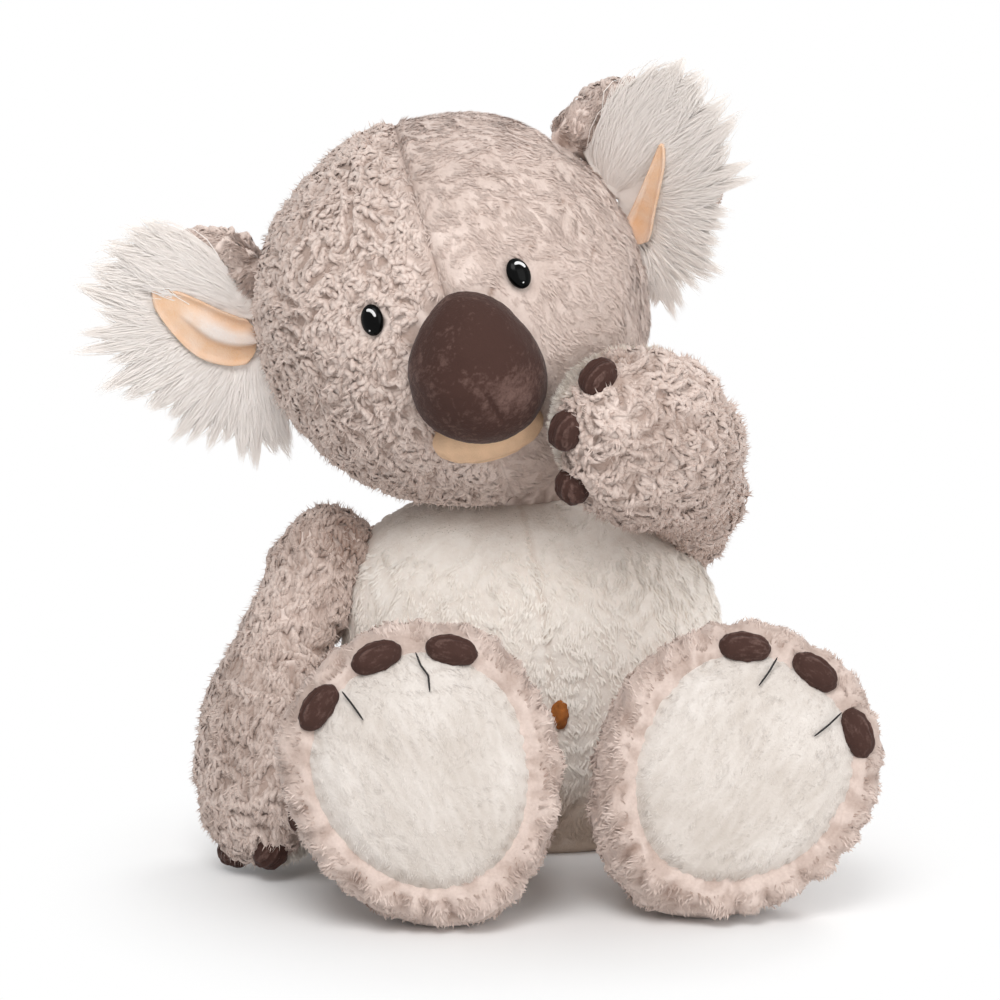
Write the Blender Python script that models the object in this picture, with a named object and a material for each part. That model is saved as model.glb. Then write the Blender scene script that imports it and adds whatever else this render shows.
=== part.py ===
"""A seated plush koala, as sewn skins, stuffings, pads and claws.

The toy sits on the floor plane and faces -Y, with its own left at +X. Its head leans to its right, its
right arm hangs to the floor, its left arm is bent up to the mouth, and both soles face forward. Every
skin is a hollow shell with its stuffing inside, and every limb turns on a round root in the body.
Lengths are in metres.
"""
from math import cos, pi, radians, sin, sqrt

import bmesh
import bpy
from mathutils import Matrix, Vector

# Gaps and walls shared by all pieces
SEAM_GAP = 0.0003
STUFFING_GAP = 0.0010
BODY_CLEARANCE = 0.0015
SKIN_THICKNESS = 0.004
FLAT_DEPTH = 0.0005
CUT_OVERRUN = 0.02

# Body
TORSO_HALF_WIDTH = 0.073
TORSO_HALF_DEPTH = 0.056
TORSO_HEIGHT = 0.1355
TORSO_WIDEST_HEIGHT = 0.062
TORSO_LEAN_SIDE = 0.012
TORSO_LEAN_FRONT = 0.007
TORSO_TOP_POWER = 2.8
TORSO_BASE_POWER = 2.2
TORSO_BASE_SHARE = 1.22
SIDE_SEAM_SETBACK = 0.009
PELLET_BAG_HEIGHT = 0.024

# Neck
NECK_RADIUS = 0.022
NECK_CREASE = 0.007

# Head, with the angles that it leans at rest
HEAD_HALF_WIDTH = 0.072
HEAD_HALF_DEPTH = 0.067
HEAD_HALF_HEIGHT = 0.0725
HEAD_ROLL = radians(18.5)
HEAD_PITCH = radians(10)
HEAD_TURN = radians(4.5)

# Nose, lip and eyes
NOSE_HALF_WIDTH = 0.0243
NOSE_HALF_DEPTH = 0.024
NOSE_HALF_HEIGHT = 0.028
NOSE_SHIFT = 0.003
NOSE_ROLL = radians(11)
NOSE_SKIN = 0.002
LIP_HALF_WIDTH = 0.0205
LIP_HALF_DEPTH = 0.010
LIP_HALF_HEIGHT = 0.012
LIP_DROP = 0.028
LIP_SHIFT = 0.002
LIP_ROLL = radians(9)
EYE_HALF_WIDTH = 0.0044
EYE_HALF_HEIGHT = 0.0058
EYE_BULGE = 0.0022
EYE_SIDE_ANGLE = radians(25)
EYE_RISE_ANGLE = radians(20.5)

# Navel patch
NAVEL_HALF_WIDTH = 0.0034
NAVEL_HALF_HEIGHT = 0.0056
NAVEL_BULGE = 0.0016
NAVEL_HEIGHT = 0.059

# Ears
EAR_ROLL_RADIUS = 0.008
EAR_SEATING = 0.0007
EAR_BACK_LENGTH = 0.046
EAR_BACK_HALF_HEIGHT = 0.036
EAR_BACK_LIFT = 0.005
EAR_FRONT_LENGTH = 0.060
EAR_FRONT_HALF_HEIGHT = 0.052
RIGHT_EAR_SHIFT = -0.006
LEFT_EAR_SHIFT = 0.012
EAR_LINING_LENGTH = 0.030
EAR_LINING_HALF_HEIGHT = 0.022
EAR_LINING_THICKNESS = 0.0015
RIGHT_EAR_RISE = radians(15)
LEFT_EAR_RISE = radians(8)
EAR_SETBACK = radians(7)
RIGHT_EAR_FORWARD = radians(12)
LEFT_EAR_FORWARD = radians(38)

# Arms
SHOULDER_RADIUS = 0.018
SHOULDER_CLEARANCE = 0.0006
SHOULDER_STANDOFF = 0.008
SHOULDER_SETBACK = 0.001
ARM_RADIUS = 0.0165
PAW_HALF_WIDTH = 0.032
PAW_HALF_THICKNESS = 0.0195
UPPER_ARM_LENGTH = 0.058
FOREARM_LENGTH = 0.074
HANGING_SHOULDER_DROP = 0.0275
RAISED_SHOULDER_DROP = 0.0135
CHEEK_CLEARANCE = 0.005
PALM_HALF_LENGTH = 0.021
PALM_HALF_WIDTH = 0.021

# Legs and feet
HIP_RADIUS = 0.025
HIP_STANDOFF = 0.008
HIP_HEIGHT = 0.036
HIP_SPREAD = 0.044
LEG_RADIUS = 0.0225
FOOT_HALF_WIDTH = 0.048
FOOT_HALF_HEIGHT = 0.0545
FOOT_DEPTH = 0.046
FOOT_REACH = 0.092
RIGHT_FOOT_OFFSET = 0.008
LEFT_FOOT_OFFSET = 0.004
FOOT_TILT = radians(8)
RIGHT_FOOT_ROLL = radians(22)
LEFT_FOOT_ROLL = radians(38)
SOLE_HALF_WIDTH = 0.0385
SOLE_HALF_HEIGHT = 0.042
SOLE_RISE = 0.0045

# Claws
ARM_CLAW_HALF_LENGTH = 0.0075
ARM_CLAW_HALF_WIDTH = 0.0055
FOOT_CLAW_HALF_LENGTH = 0.0092
FOOT_CLAW_HALF_WIDTH = 0.0058
CLAW_HALF_HEIGHT = 0.0055

# Directions, as shares of a unit length along X, Y and Z
HANGING_UPPER_ARM_SHARES = (-0.62, -0.16, -0.77)
HANGING_FOREARM_SHARES = (0.15, -0.72, -0.68)
HANGING_FLAT_SHARES = (-0.80, -0.50, 0.35)
RAISED_UPPER_ARM_SHARES = (0.20, -0.88, 0.44)
RAISED_PAW_SHARES = (0.40, -0.88, -0.25)

# Outlines, as shares of the sizes above
TORSO_HEIGHT_SHARES = (0.06, 0.14, 0.26, 0.40, 0.54, 0.66, 0.77, 0.86, 0.93, 0.975, 0.996)
ARM_STATION_SHARES = (0.0, 0.16, 0.34, 0.50, 0.63, 0.74, 0.84, 0.92, 0.97, 0.995)
ARM_SWELL_START_SHARE = 0.25
ARM_SWELL_END_SHARE = 0.72
ARM_ROUND_START_SHARE = 0.74
FOOT_RING_SHARES = (
    (0.00, 0.52),
    (0.12, 0.74),
    (0.32, 0.93),
    (0.56, 1.00),
    (0.78, 0.95),
    (0.93, 0.83),
    (1.02, 0.62),
    (1.06, 0.36),
    (1.08, 0.12),
)
FOOT_TAPER_SHARE = 0.10
EAR_RING_SHARES = ((0.12, 0.96), (0.34, 1.0), (0.58, 0.94), (0.78, 0.76), (0.92, 0.48), (0.99, 0.16))
EAR_ROOT_SHARE = 0.84
EAR_LINING_PLACE_SHARES = (0.28, -0.02)
PALM_PLACE_SHARE = 0.72
LEG_STATION_SHARE = 0.55
SOLE_START_SHARE = 0.70
FOOT_CLAW_PLACE_SHARES = (0.90, 0.87)
ROUND_ROOT_ANGLES = (radians(78), radians(52), radians(26))
ARM_CLAW_SPREAD = radians(40)
RAISED_CLAW_TURN = radians(-22)
HANGING_CLAW_TURN = radians(6)
FOOT_CLAW_SPREAD = radians(34)

# Facets
SKIN_FACETS = 24
LINING_FACETS = 14
LIMB_FACETS = 18
LIMB_LINING_FACETS = 12
SOCKET_FACETS = 20
SMALL_FACETS = 12
CLAW_FACETS = 10

FINISHES = {
    "taupe_plush": ((0.59, 0.50, 0.44), 0.95),
    "white_plush": ((0.86, 0.83, 0.77), 0.95),
    "sole_plush": ((0.84, 0.80, 0.76), 0.95),
    "long_white_pile": ((0.83, 0.78, 0.74), 0.9),
    "peach_felt": ((0.87, 0.60, 0.38), 0.9),
    "nose_velour": ((0.08, 0.045, 0.04), 0.75),
    "claw_velour": ((0.06, 0.034, 0.028), 0.8),
    "eye_gloss": ((0.002, 0.002, 0.002), 0.12),
    "navel_felt": ((0.48, 0.12, 0.025), 0.85),
    "stuffing": ((0.88, 0.88, 0.86), 1.0),
    "pellet_cloth": ((0.70, 0.68, 0.64), 0.9),
}


def clear_scene():
    """Remove every object of the open scene."""
    for item in list(bpy.data.objects):
        bpy.data.objects.remove(item, do_unlink=True)


def finish_material(finish):
    """Return the material of one finish, made when it is first asked for."""
    material = bpy.data.materials.get(finish)
    if material:
        return material
    colour, roughness = FINISHES[finish]
    material = bpy.data.materials.new(finish)
    material.use_nodes = True
    shader = material.node_tree.nodes["Principled BSDF"]
    shader.inputs["Base Color"].default_value = (*colour, 1)
    shader.inputs["Roughness"].default_value = roughness
    shader.inputs["Metallic"].default_value = 0
    return material


def new_piece(name, shape, finish):
    """Turn a bmesh into an object with one finish and smooth shading."""
    bmesh.ops.recalc_face_normals(shape, faces=shape.faces)
    mesh = bpy.data.meshes.new(name)
    shape.to_mesh(mesh)
    shape.free()
    mesh.materials.append(finish_material(finish))
    mesh.shade_smooth()
    piece = bpy.data.objects.new(name, mesh)
    bpy.context.scene.collection.objects.link(piece)
    return piece


def copy_piece(piece, name):
    """Return a second object with its own mesh of the same shape."""
    twin = bpy.data.objects.new(name, piece.data.copy())
    bpy.context.scene.collection.objects.link(twin)
    return twin


def combine(piece, tool, operation):
    """Apply one Boolean of the tool to the piece, and delete the tool."""
    modifier = piece.modifiers.new(operation, "BOOLEAN")
    modifier.operation = operation
    modifier.solver = "EXACT"
    modifier.object = tool
    view = bpy.context.evaluated_depsgraph_get()
    result = bpy.data.meshes.new_from_object(piece.evaluated_get(view))
    piece.modifiers.clear()
    piece.data = result
    bpy.data.objects.remove(tool, do_unlink=True)
    return piece


def cut_away(piece, tool):
    """Take the tool's space out of the piece."""
    return combine(piece, tool, "DIFFERENCE")


def keep_inside(piece, tool):
    """Keep only what lies inside the tool."""
    return combine(piece, tool, "INTERSECT")


def loft(name, rings, facets, finish):
    """Bridge rings of the form (centre, half side, half rise, taper) into one closed skin."""
    shape = bmesh.new()
    loops = []
    for centre, side, rise, taper in rings:
        verts = []
        for step in range(facets):
            angle = 2 * pi * step / facets
            across = cos(angle) * (1 + taper * sin(angle))
            verts.append(shape.verts.new(centre + side * across + rise * sin(angle)))
        edges = []
        for first, second in zip(verts, verts[1:] + verts[:1]):
            edges.append(shape.edges.new((first, second)))
        loops.append((verts, edges))
    for lower, upper in zip(loops, loops[1:]):
        bmesh.ops.bridge_loops(shape, edges=lower[1] + upper[1])
    shape.faces.new(loops[0][0])
    shape.faces.new(loops[-1][0])
    return new_piece(name, shape, finish)


def rounded(name, half_sizes, place, facets, finish):
    """A ball stretched to three half sizes and set in the given place."""
    shape = bmesh.new()
    stretch = Matrix.Diagonal((*half_sizes, 1))
    bmesh.ops.create_uvsphere(
        shape, u_segments=facets, v_segments=facets // 2 + 1, radius=1, matrix=place @ stretch
    )
    return new_piece(name, shape, finish)


def block(name, low, high, place=None):
    """A box between two corners, used to part or trim pieces."""
    shape = bmesh.new()
    low = Vector(low)
    high = Vector(high)
    middle = Matrix.Translation((low + high) / 2)
    stretch = Matrix.Diagonal((*(high - low), 1))
    bmesh.ops.create_cube(shape, size=1, matrix=(place or Matrix()) @ middle @ stretch)
    return new_piece(name, shape, "stuffing")


def socket(centre, radius):
    """The round hollow that a root of this radius turns in."""
    step = pi / SOCKET_FACETS
    clear_radius = (radius + SEAM_GAP) / cos(step) ** 2
    return rounded(
        "socket", (clear_radius,) * 3, Matrix.Translation(centre), SOCKET_FACETS, "stuffing"
    )


# The body's form


def torso_middle(height):
    """Centre of the body at a height, leaning more towards the neck."""
    share = (height / TORSO_HEIGHT) ** 2
    return Vector((-TORSO_LEAN_SIDE * share, -TORSO_LEAN_FRONT * share, height))


def torso_fullness(height):
    """Share of the greatest half width that the body has at a height."""
    if height > TORSO_WIDEST_HEIGHT:
        reach = (height - TORSO_WIDEST_HEIGHT) / (TORSO_HEIGHT - TORSO_WIDEST_HEIGHT)
        power = TORSO_TOP_POWER
    else:
        reach = (TORSO_WIDEST_HEIGHT - height) / (TORSO_WIDEST_HEIGHT * TORSO_BASE_SHARE)
        power = TORSO_BASE_POWER
    return max(0, 1 - reach**power) ** (1 / power)


def torso_form(name, inset, facets, finish):
    """The body's pear form, drawn in by an inset on all sides."""
    rings = []
    for share in (0,) + TORSO_HEIGHT_SHARES:
        height = TORSO_HEIGHT * share
        full = torso_fullness(height)
        side = max(TORSO_HALF_WIDTH * full - inset, SEAM_GAP)
        rise = max(TORSO_HALF_DEPTH * full - inset, SEAM_GAP)
        middle = torso_middle(height)
        middle.z = inset + height * (TORSO_HEIGHT - 2 * inset) / TORSO_HEIGHT
        rings.append((middle, Vector((side, 0, 0)), Vector((0, rise, 0)), 0))
    return loft(name, rings, facets, finish)


def torso_side(height, sign):
    """The point at the body's side at a height."""
    return torso_middle(height) + Vector((sign * TORSO_HALF_WIDTH * torso_fullness(height), 0, 0))


def torso_front(across, height):
    """The point on the body's front at a height and a distance across."""
    middle = torso_middle(height)
    full = torso_fullness(height)
    share = (across - middle.x) / (TORSO_HALF_WIDTH * full)
    depth = TORSO_HALF_DEPTH * full * sqrt(max(0, 1 - share**2))
    return Vector((across, middle.y - depth, height))


# The head's form and its frame

NECK_POINT = torso_middle(TORSO_HEIGHT)
HEAD_TURNED = (
    Matrix.Rotation(-HEAD_ROLL, 4, "Y")
    @ Matrix.Rotation(HEAD_PITCH, 4, "X")
    @ Matrix.Rotation(-HEAD_TURN, 4, "Z")
)
HEAD_CENTRE = NECK_POINT + HEAD_TURNED @ Vector((0, 0, HEAD_HALF_HEIGHT + NECK_CREASE / 2))
HEAD_PLACE = Matrix.Translation(HEAD_CENTRE) @ HEAD_TURNED
NOSE_PLACE = (
    HEAD_PLACE
    @ Matrix.Translation((NOSE_SHIFT, -HEAD_HALF_DEPTH, 0))
    @ Matrix.Rotation(NOSE_ROLL, 4, "Y")
)


def head_form(name, inset, facets, finish):
    """The head's round form, drawn in by an inset, or swollen where that is negative."""
    half_sizes = (HEAD_HALF_WIDTH - inset, HEAD_HALF_DEPTH - inset, HEAD_HALF_HEIGHT - inset)
    return rounded(name, half_sizes, HEAD_PLACE, facets, finish)


def head_shares(spot):
    """A spot in the head's frame, as shares of the head's half sizes."""
    return Vector((spot.x / HEAD_HALF_WIDTH, spot.y / HEAD_HALF_DEPTH, spot.z / HEAD_HALF_HEIGHT))


def head_spot(toward):
    """The point on the head's skin in a direction from its centre, in the head's frame."""
    return toward / head_shares(toward).length


# Limbs


def frame_of(side, rise, middle):
    """A place whose X runs along side and Z near rise, with its origin in the middle."""
    side = side.normalized()
    rise = (rise - side * rise.dot(side)).normalized()
    turn = Matrix((side, rise.cross(side), rise)).transposed().to_4x4()
    return Matrix.Translation(middle) @ turn


def smooth_step(value):
    """Ease from 0 to 1."""
    value = min(max(value, 0), 1)
    return value * value * (3 - 2 * value)


def round_root(root, toward, side, rise, radius):
    """Rings of the half ball that turns in a socket."""
    rings = []
    for angle in ROUND_ROOT_ANGLES:
        centre = root - toward * radius * sin(angle)
        rings.append((centre, side * radius * cos(angle), rise * radius * cos(angle), 0))
    return rings


# Arms: a root, a bend and a tip, and the axis along which the paw is flat


def arm_point(arm, share):
    """Point on the bent line of the arm, and its direction there."""
    rest = 1 - share
    root, bend, tip = arm["points"]
    point = root * rest**2 + bend * 2 * rest * share + tip * share**2
    direction = (bend - root) * rest + (tip - bend) * share
    return point, direction.normalized()


def arm_axes(arm, share):
    """Directions across the arm: along its width, and along its thickness."""
    toward = arm_point(arm, share)[1]
    flat = arm["flat_axis"]
    rise = (flat - toward * flat.dot(toward)).normalized()
    return toward.cross(rise), rise


def arm_rings(arm, inset):
    """Rings of an arm: round root, slim upper arm, and a paw that swells and rounds off."""
    root, toward = arm_point(arm, 0)
    side, rise = arm_axes(arm, 0)
    rings = round_root(root, toward, side, rise, SHOULDER_RADIUS - inset)
    length = UPPER_ARM_LENGTH + FOREARM_LENGTH
    for share in ARM_STATION_SHARES:
        point = arm_point(arm, share * (1 - inset / length))[0]
        side, rise = arm_axes(arm, share)
        slim = SHOULDER_RADIUS + (ARM_RADIUS - SHOULDER_RADIUS) * smooth_step(share / ARM_SWELL_START_SHARE)
        swell = (share - ARM_SWELL_START_SHARE) / (ARM_SWELL_END_SHARE - ARM_SWELL_START_SHARE)
        wide = slim + (PAW_HALF_WIDTH - slim) * smooth_step(swell)
        thick = slim + (PAW_HALF_THICKNESS - slim) * smooth_step(swell)
        past = max(0, (share - ARM_ROUND_START_SHARE) / (1 - ARM_ROUND_START_SHARE))
        rounding = sqrt(1 - past**2)
        rings.append((point, side * (wide - inset) * rounding, rise * (thick - inset) * rounding, 0))
    return rings


def arm_form(name, arm, inset, facets, finish):
    """The arm's form, drawn in by an inset."""
    return loft(name, arm_rings(arm, inset), facets, finish)


def palm_outline(arm, grow):
    """A prism through the palm's side of the paw, in the palm pad's outline."""
    middle, toward = arm_point(arm, PALM_PLACE_SHARE)
    side, rise = arm_axes(arm, PALM_PLACE_SHARE)
    rings = []
    for depth in (PAW_HALF_THICKNESS / 2 - grow, PAW_HALF_THICKNESS + CUT_OVERRUN):
        length = toward * (PALM_HALF_LENGTH + grow)
        rings.append((middle - rise * depth, length, side * (PALM_HALF_WIDTH + grow), 0))
    return loft("palm_outline", rings, LIMB_FACETS, "stuffing")


def arm_claw(name, arm, turn):
    """A claw on the rounded edge of the paw, at an angle from the arm's direction."""
    middle, toward = arm_point(arm, ARM_ROUND_START_SHARE)
    side = arm_axes(arm, ARM_ROUND_START_SHARE)[0]
    tip = arm_point(arm, 1)[0]
    reach = (tip - middle).length
    toward = (tip - middle).normalized()
    side = (side - toward * side.dot(toward)).normalized()
    out = toward * cos(turn) + side * sin(turn)
    along = side * cos(turn) - toward * sin(turn)
    spot = middle + toward * reach * cos(turn) + side * PAW_HALF_WIDTH * sin(turn)
    half_sizes = (ARM_CLAW_HALF_LENGTH, CLAW_HALF_HEIGHT, ARM_CLAW_HALF_WIDTH)
    claw = rounded(name, half_sizes, frame_of(along, along.cross(out), spot), CLAW_FACETS, "claw_velour")
    return cut_away(claw, arm_form("seat", arm, -SEAM_GAP, LIMB_FACETS, "stuffing"))


def body_beside(root):
    """The body with its shoulder socket, which the resting arm lies against."""
    body = torso_form("body", -BODY_CLEARANCE, SKIN_FACETS, "stuffing")
    return cut_away(body, socket(root, SHOULDER_RADIUS - SEAM_GAP / 2))


def make_arm(side_name, arm):
    """Skin with its palm pad, stuffing and claws of one arm."""
    skin = arm_form("arm_skin_" + side_name, arm, 0, LIMB_FACETS, "taupe_plush")
    cut_away(skin, arm_form("hollow", arm, SKIN_THICKNESS, LIMB_LINING_FACETS, "taupe_plush"))
    pad = copy_piece(skin, "palm_pad_" + side_name)
    pad.data.materials[0] = finish_material("white_plush")
    keep_inside(pad, palm_outline(arm, 0))
    cut_away(skin, palm_outline(arm, SEAM_GAP))
    filling = arm_form(
        "arm_stuffing_" + side_name, arm, SKIN_THICKNESS + STUFFING_GAP, LIMB_LINING_FACETS, "stuffing"
    )
    pieces = [skin, pad, filling]
    for piece in pieces:
        cut_away(piece, body_beside(arm["points"][0]))
        cut_away(piece, head_form("cheek", -CHEEK_CLEARANCE, SKIN_FACETS, "stuffing"))
    for number, spread in enumerate((-ARM_CLAW_SPREAD, 0, ARM_CLAW_SPREAD), 1):
        turn = spread + arm["claw_turn"]
        pieces.append(arm_claw("arm_claw_%s_%d" % (side_name, number), arm, turn))
    return pieces


# Legs: a hip root, a short leg and a broad foot whose sole faces forward


def foot_ring(foot, depth_share, full, inset):
    """One egg-shaped ring of the foot, at a share of its depth."""
    place = foot["place"]
    centre = place @ Vector((0, -(FOOT_DEPTH - inset) * depth_share, 0))
    side = place.to_3x3() @ Vector(((FOOT_HALF_WIDTH - inset) * full, 0, 0))
    rise = place.to_3x3() @ Vector((0, 0, (FOOT_HALF_HEIGHT - inset) * full))
    return (centre, side, rise, FOOT_TAPER_SHARE)


def ring_spot(ring, angle):
    """The point of a ring at an angle from its side towards its rise."""
    centre, side, rise, taper = ring
    return centre + side * cos(angle) * (1 + taper * sin(angle)) + rise * sin(angle)


def foot_place(sign, roll, offset):
    """Place of the foot's back, so that it stands on the floor beside the other foot."""
    turned = Matrix.Rotation(-FOOT_TILT, 4, "X") @ Matrix.Rotation(sign * roll, 4, "Y")
    spots = []
    for depth_share, full in FOOT_RING_SHARES:
        ring = foot_ring({"place": turned}, depth_share, full, 0)
        spots += [ring_spot(ring, 2 * pi * step / LIMB_FACETS) for step in range(LIMB_FACETS)]
    inner = min(sign * spot.x for spot in spots)
    lowest = min(spot.z for spot in spots)
    middle = Vector((sign * (offset - inner), -FOOT_REACH, -lowest - FLAT_DEPTH))
    return Matrix.Translation(middle) @ turned


def leg_rings(foot, inset):
    """Rings of a leg: round root, short leg, and the foot that swells towards the sole."""
    root = foot["root"]
    ankle = foot["place"].translation
    toward = (ankle - root).normalized()
    across = foot["place"].to_3x3() @ Vector((1, 0, 0))
    side = (across - toward * across.dot(toward)).normalized()
    rise = side.cross(toward)
    rings = round_root(root, toward, side, rise, HIP_RADIUS - inset)
    radius = HIP_RADIUS - inset
    rings.append((root, side * radius, rise * radius, 0))
    radius = LEG_RADIUS - inset
    rings.append((root.lerp(ankle, LEG_STATION_SHARE), side * radius, rise * radius, 0))
    for depth_share, full in FOOT_RING_SHARES:
        rings.append(foot_ring(foot, depth_share, full, inset))
    return rings


def leg_form(name, foot, inset, facets, finish):
    """The leg and foot's form, drawn in by an inset."""
    return loft(name, leg_rings(foot, inset), facets, finish)


def sole_outline(foot, grow):
    """A prism through the front of the foot, in the sole's egg-shaped outline."""
    place = foot["place"]
    side = place.to_3x3() @ Vector((SOLE_HALF_WIDTH + grow, 0, 0))
    rise = place.to_3x3() @ Vector((0, 0, SOLE_HALF_HEIGHT + grow))
    rings = []
    for depth in (FOOT_DEPTH * SOLE_START_SHARE - grow, FOOT_DEPTH + CUT_OVERRUN):
        rings.append((place @ Vector((0, -depth, SOLE_RISE)), side, rise, FOOT_TAPER_SHARE))
    return loft("sole_outline", rings, SKIN_FACETS, "stuffing")


def foot_claw(name, foot, turn):
    """A claw on the foot's front edge, at an angle from the foot's upper side."""
    depth_share, full = FOOT_CLAW_PLACE_SHARES
    ring = foot_ring(foot, depth_share, full, 0)
    angle = pi / 2 - turn
    spot = ring_spot(ring, angle)
    out = (spot - ring[0]).normalized()
    along = foot["place"].to_3x3() @ Vector((0, -1, 0))
    along = along.cross(out).normalized()
    half_sizes = (FOOT_CLAW_HALF_LENGTH, FOOT_CLAW_HALF_WIDTH, CLAW_HALF_HEIGHT)
    claw = rounded(name, half_sizes, frame_of(along, out, spot), CLAW_FACETS, "claw_velour")
    return cut_away(claw, leg_form("seat", foot, -SEAM_GAP, LIMB_FACETS, "stuffing"))


def trim_at_floor(piece, level):
    """Cut a piece flat at a level, where it rests on the floor."""
    reach = FOOT_REACH + FOOT_DEPTH + FOOT_HALF_HEIGHT
    return cut_away(piece, block("floor", (-reach, -reach, -reach), (reach, reach, level)))


def make_leg(side_name, foot):
    """Skin with its sole, stuffing and claws of one leg."""
    skin = leg_form("leg_skin_" + side_name, foot, 0, LIMB_FACETS, "taupe_plush")
    cut_away(skin, leg_form("hollow", foot, SKIN_THICKNESS, LIMB_LINING_FACETS, "taupe_plush"))
    trim_at_floor(skin, 0)
    sole = copy_piece(skin, "sole_pad_" + side_name)
    sole.data.materials[0] = finish_material("sole_plush")
    keep_inside(sole, sole_outline(foot, 0))
    cut_away(skin, sole_outline(foot, SEAM_GAP))
    filling = leg_form(
        "leg_stuffing_" + side_name, foot, SKIN_THICKNESS + STUFFING_GAP, LIMB_LINING_FACETS, "stuffing"
    )
    pieces = [skin, sole, filling]
    for number, turn in enumerate((-FOOT_CLAW_SPREAD, 0, FOOT_CLAW_SPREAD), 1):
        pieces.append(foot_claw("foot_claw_%s_%d" % (side_name, number), foot, turn))
    return pieces


# Body pieces


def make_torso(sockets):
    """Belly and back panels, stuffing, pellet bag and navel patch."""
    belly = torso_form("belly_panel", 0, SKIN_FACETS, "white_plush")
    cut_away(belly, torso_form("hollow", SKIN_THICKNESS, LINING_FACETS, "white_plush"))
    filling = torso_form("torso_stuffing", SKIN_THICKNESS + STUFFING_GAP, LINING_FACETS, "stuffing")
    for piece in (belly, filling):
        cut_away(piece, head_form("crease", -NECK_CREASE, SKIN_FACETS, "stuffing"))
        for centre, radius in sockets:
            cut_away(piece, socket(centre, radius))
    back = copy_piece(belly, "back_panel")
    back.data.materials[0] = finish_material("taupe_plush")
    reach = TORSO_HEIGHT + CUT_OVERRUN
    seam = SIDE_SEAM_SETBACK
    cut_away(belly, block("rear", (-reach, seam - SEAM_GAP / 2, -reach), (reach, reach, reach)))
    cut_away(back, block("front", (-reach, -reach, -reach), (reach, seam + SEAM_GAP / 2, reach)))
    bag = copy_piece(filling, "seat_pellet_bag")
    bag.data.materials[0] = finish_material("pellet_cloth")
    level = PELLET_BAG_HEIGHT
    cut_away(bag, block("upper", (-reach, -reach, level), (reach, reach, reach)))
    cut_away(filling, block("lower", (-reach, -reach, -reach), (reach, reach, level + SEAM_GAP)))
    spot = torso_front(0, NAVEL_HEIGHT)
    patch_sizes = (NAVEL_HALF_WIDTH, NAVEL_BULGE, NAVEL_HALF_HEIGHT)
    patch = rounded("navel_patch", patch_sizes, Matrix.Translation(spot), SMALL_FACETS, "navel_felt")
    cut_away(patch, torso_form("seat", -SEAM_GAP, SKIN_FACETS, "stuffing"))
    return [belly, back, filling, bag, patch]


def nose_form(name, inset, finish):
    """The nose's egg, set on the front of the head and drawn in by an inset."""
    half_sizes = (NOSE_HALF_WIDTH - inset, NOSE_HALF_DEPTH - inset, NOSE_HALF_HEIGHT - inset)
    return rounded(name, half_sizes, NOSE_PLACE, LIMB_FACETS, finish)


def make_head():
    """Two head panels, stuffing, nose, lip and eyes."""
    skin = head_form("head_panel_left", 0, SKIN_FACETS, "taupe_plush")
    cut_away(skin, head_form("hollow", SKIN_THICKNESS, LINING_FACETS, "taupe_plush"))
    filling = head_form("head_stuffing", SKIN_THICKNESS + STUFFING_GAP, LINING_FACETS, "stuffing")
    for piece in (skin, filling):
        cut_away(piece, socket(NECK_POINT, NECK_RADIUS))
    other = copy_piece(skin, "head_panel_right")
    reach = HEAD_HALF_WIDTH + CUT_OVERRUN
    half_gap = SEAM_GAP / 2
    cut_away(skin, block("half", (-reach, -reach, -reach), (half_gap, reach, reach), HEAD_PLACE))
    cut_away(other, block("half", (-half_gap, -reach, -reach), (reach, reach, reach), HEAD_PLACE))
    cover = nose_form("nose_cover", 0, "nose_velour")
    cut_away(cover, nose_form("hollow", NOSE_SKIN, "nose_velour"))
    core = nose_form("nose_stuffing", NOSE_SKIN + STUFFING_GAP, "stuffing")
    lip_turned = NOSE_PLACE @ Matrix.Rotation(-LIP_ROLL, 4, "Y")
    lip_setback = HEAD_HALF_DEPTH - head_depth_at_lip()
    lip_place = lip_turned @ Matrix.Translation((-LIP_SHIFT, lip_setback, -LIP_DROP))
    lip_sizes = (LIP_HALF_WIDTH, LIP_HALF_DEPTH, LIP_HALF_HEIGHT)
    lip = rounded("lower_lip", lip_sizes, lip_place, LIMB_FACETS, "peach_felt")
    cut_away(lip, nose_form("seat", -SEAM_GAP, "stuffing"))
    pieces = [skin, other, filling, cover, core, lip]
    for side_name, sign in (("left", 1), ("right", -1)):
        ahead = Matrix.Rotation(sign * EYE_SIDE_ANGLE, 3, "Z") @ Vector((0, -cos(EYE_RISE_ANGLE), 0))
        spot = head_spot(ahead + Vector((0, 0, sin(EYE_RISE_ANGLE))))
        out = HEAD_TURNED.to_3x3() @ spot.normalized()
        rise = HEAD_TURNED.to_3x3() @ Vector((0, 0, 1))
        eye_place = frame_of(out, rise, HEAD_PLACE @ spot)
        eye_sizes = (EYE_BULGE, EYE_HALF_WIDTH, EYE_HALF_HEIGHT)
        pieces.append(rounded("eye_" + side_name, eye_sizes, eye_place, SMALL_FACETS, "eye_gloss"))
    for piece in pieces[3:]:
        cut_away(piece, head_form("seat", -SEAM_GAP, SKIN_FACETS, "stuffing"))
    return pieces


def head_depth_at_lip():
    """How far forward the head's skin reaches at the lip's height."""
    return HEAD_HALF_DEPTH * sqrt(1 - (LIP_DROP / HEAD_HALF_HEIGHT) ** 2)


# Ears, in a frame whose X runs outward, Z along the root seam and -Y to the front


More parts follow.
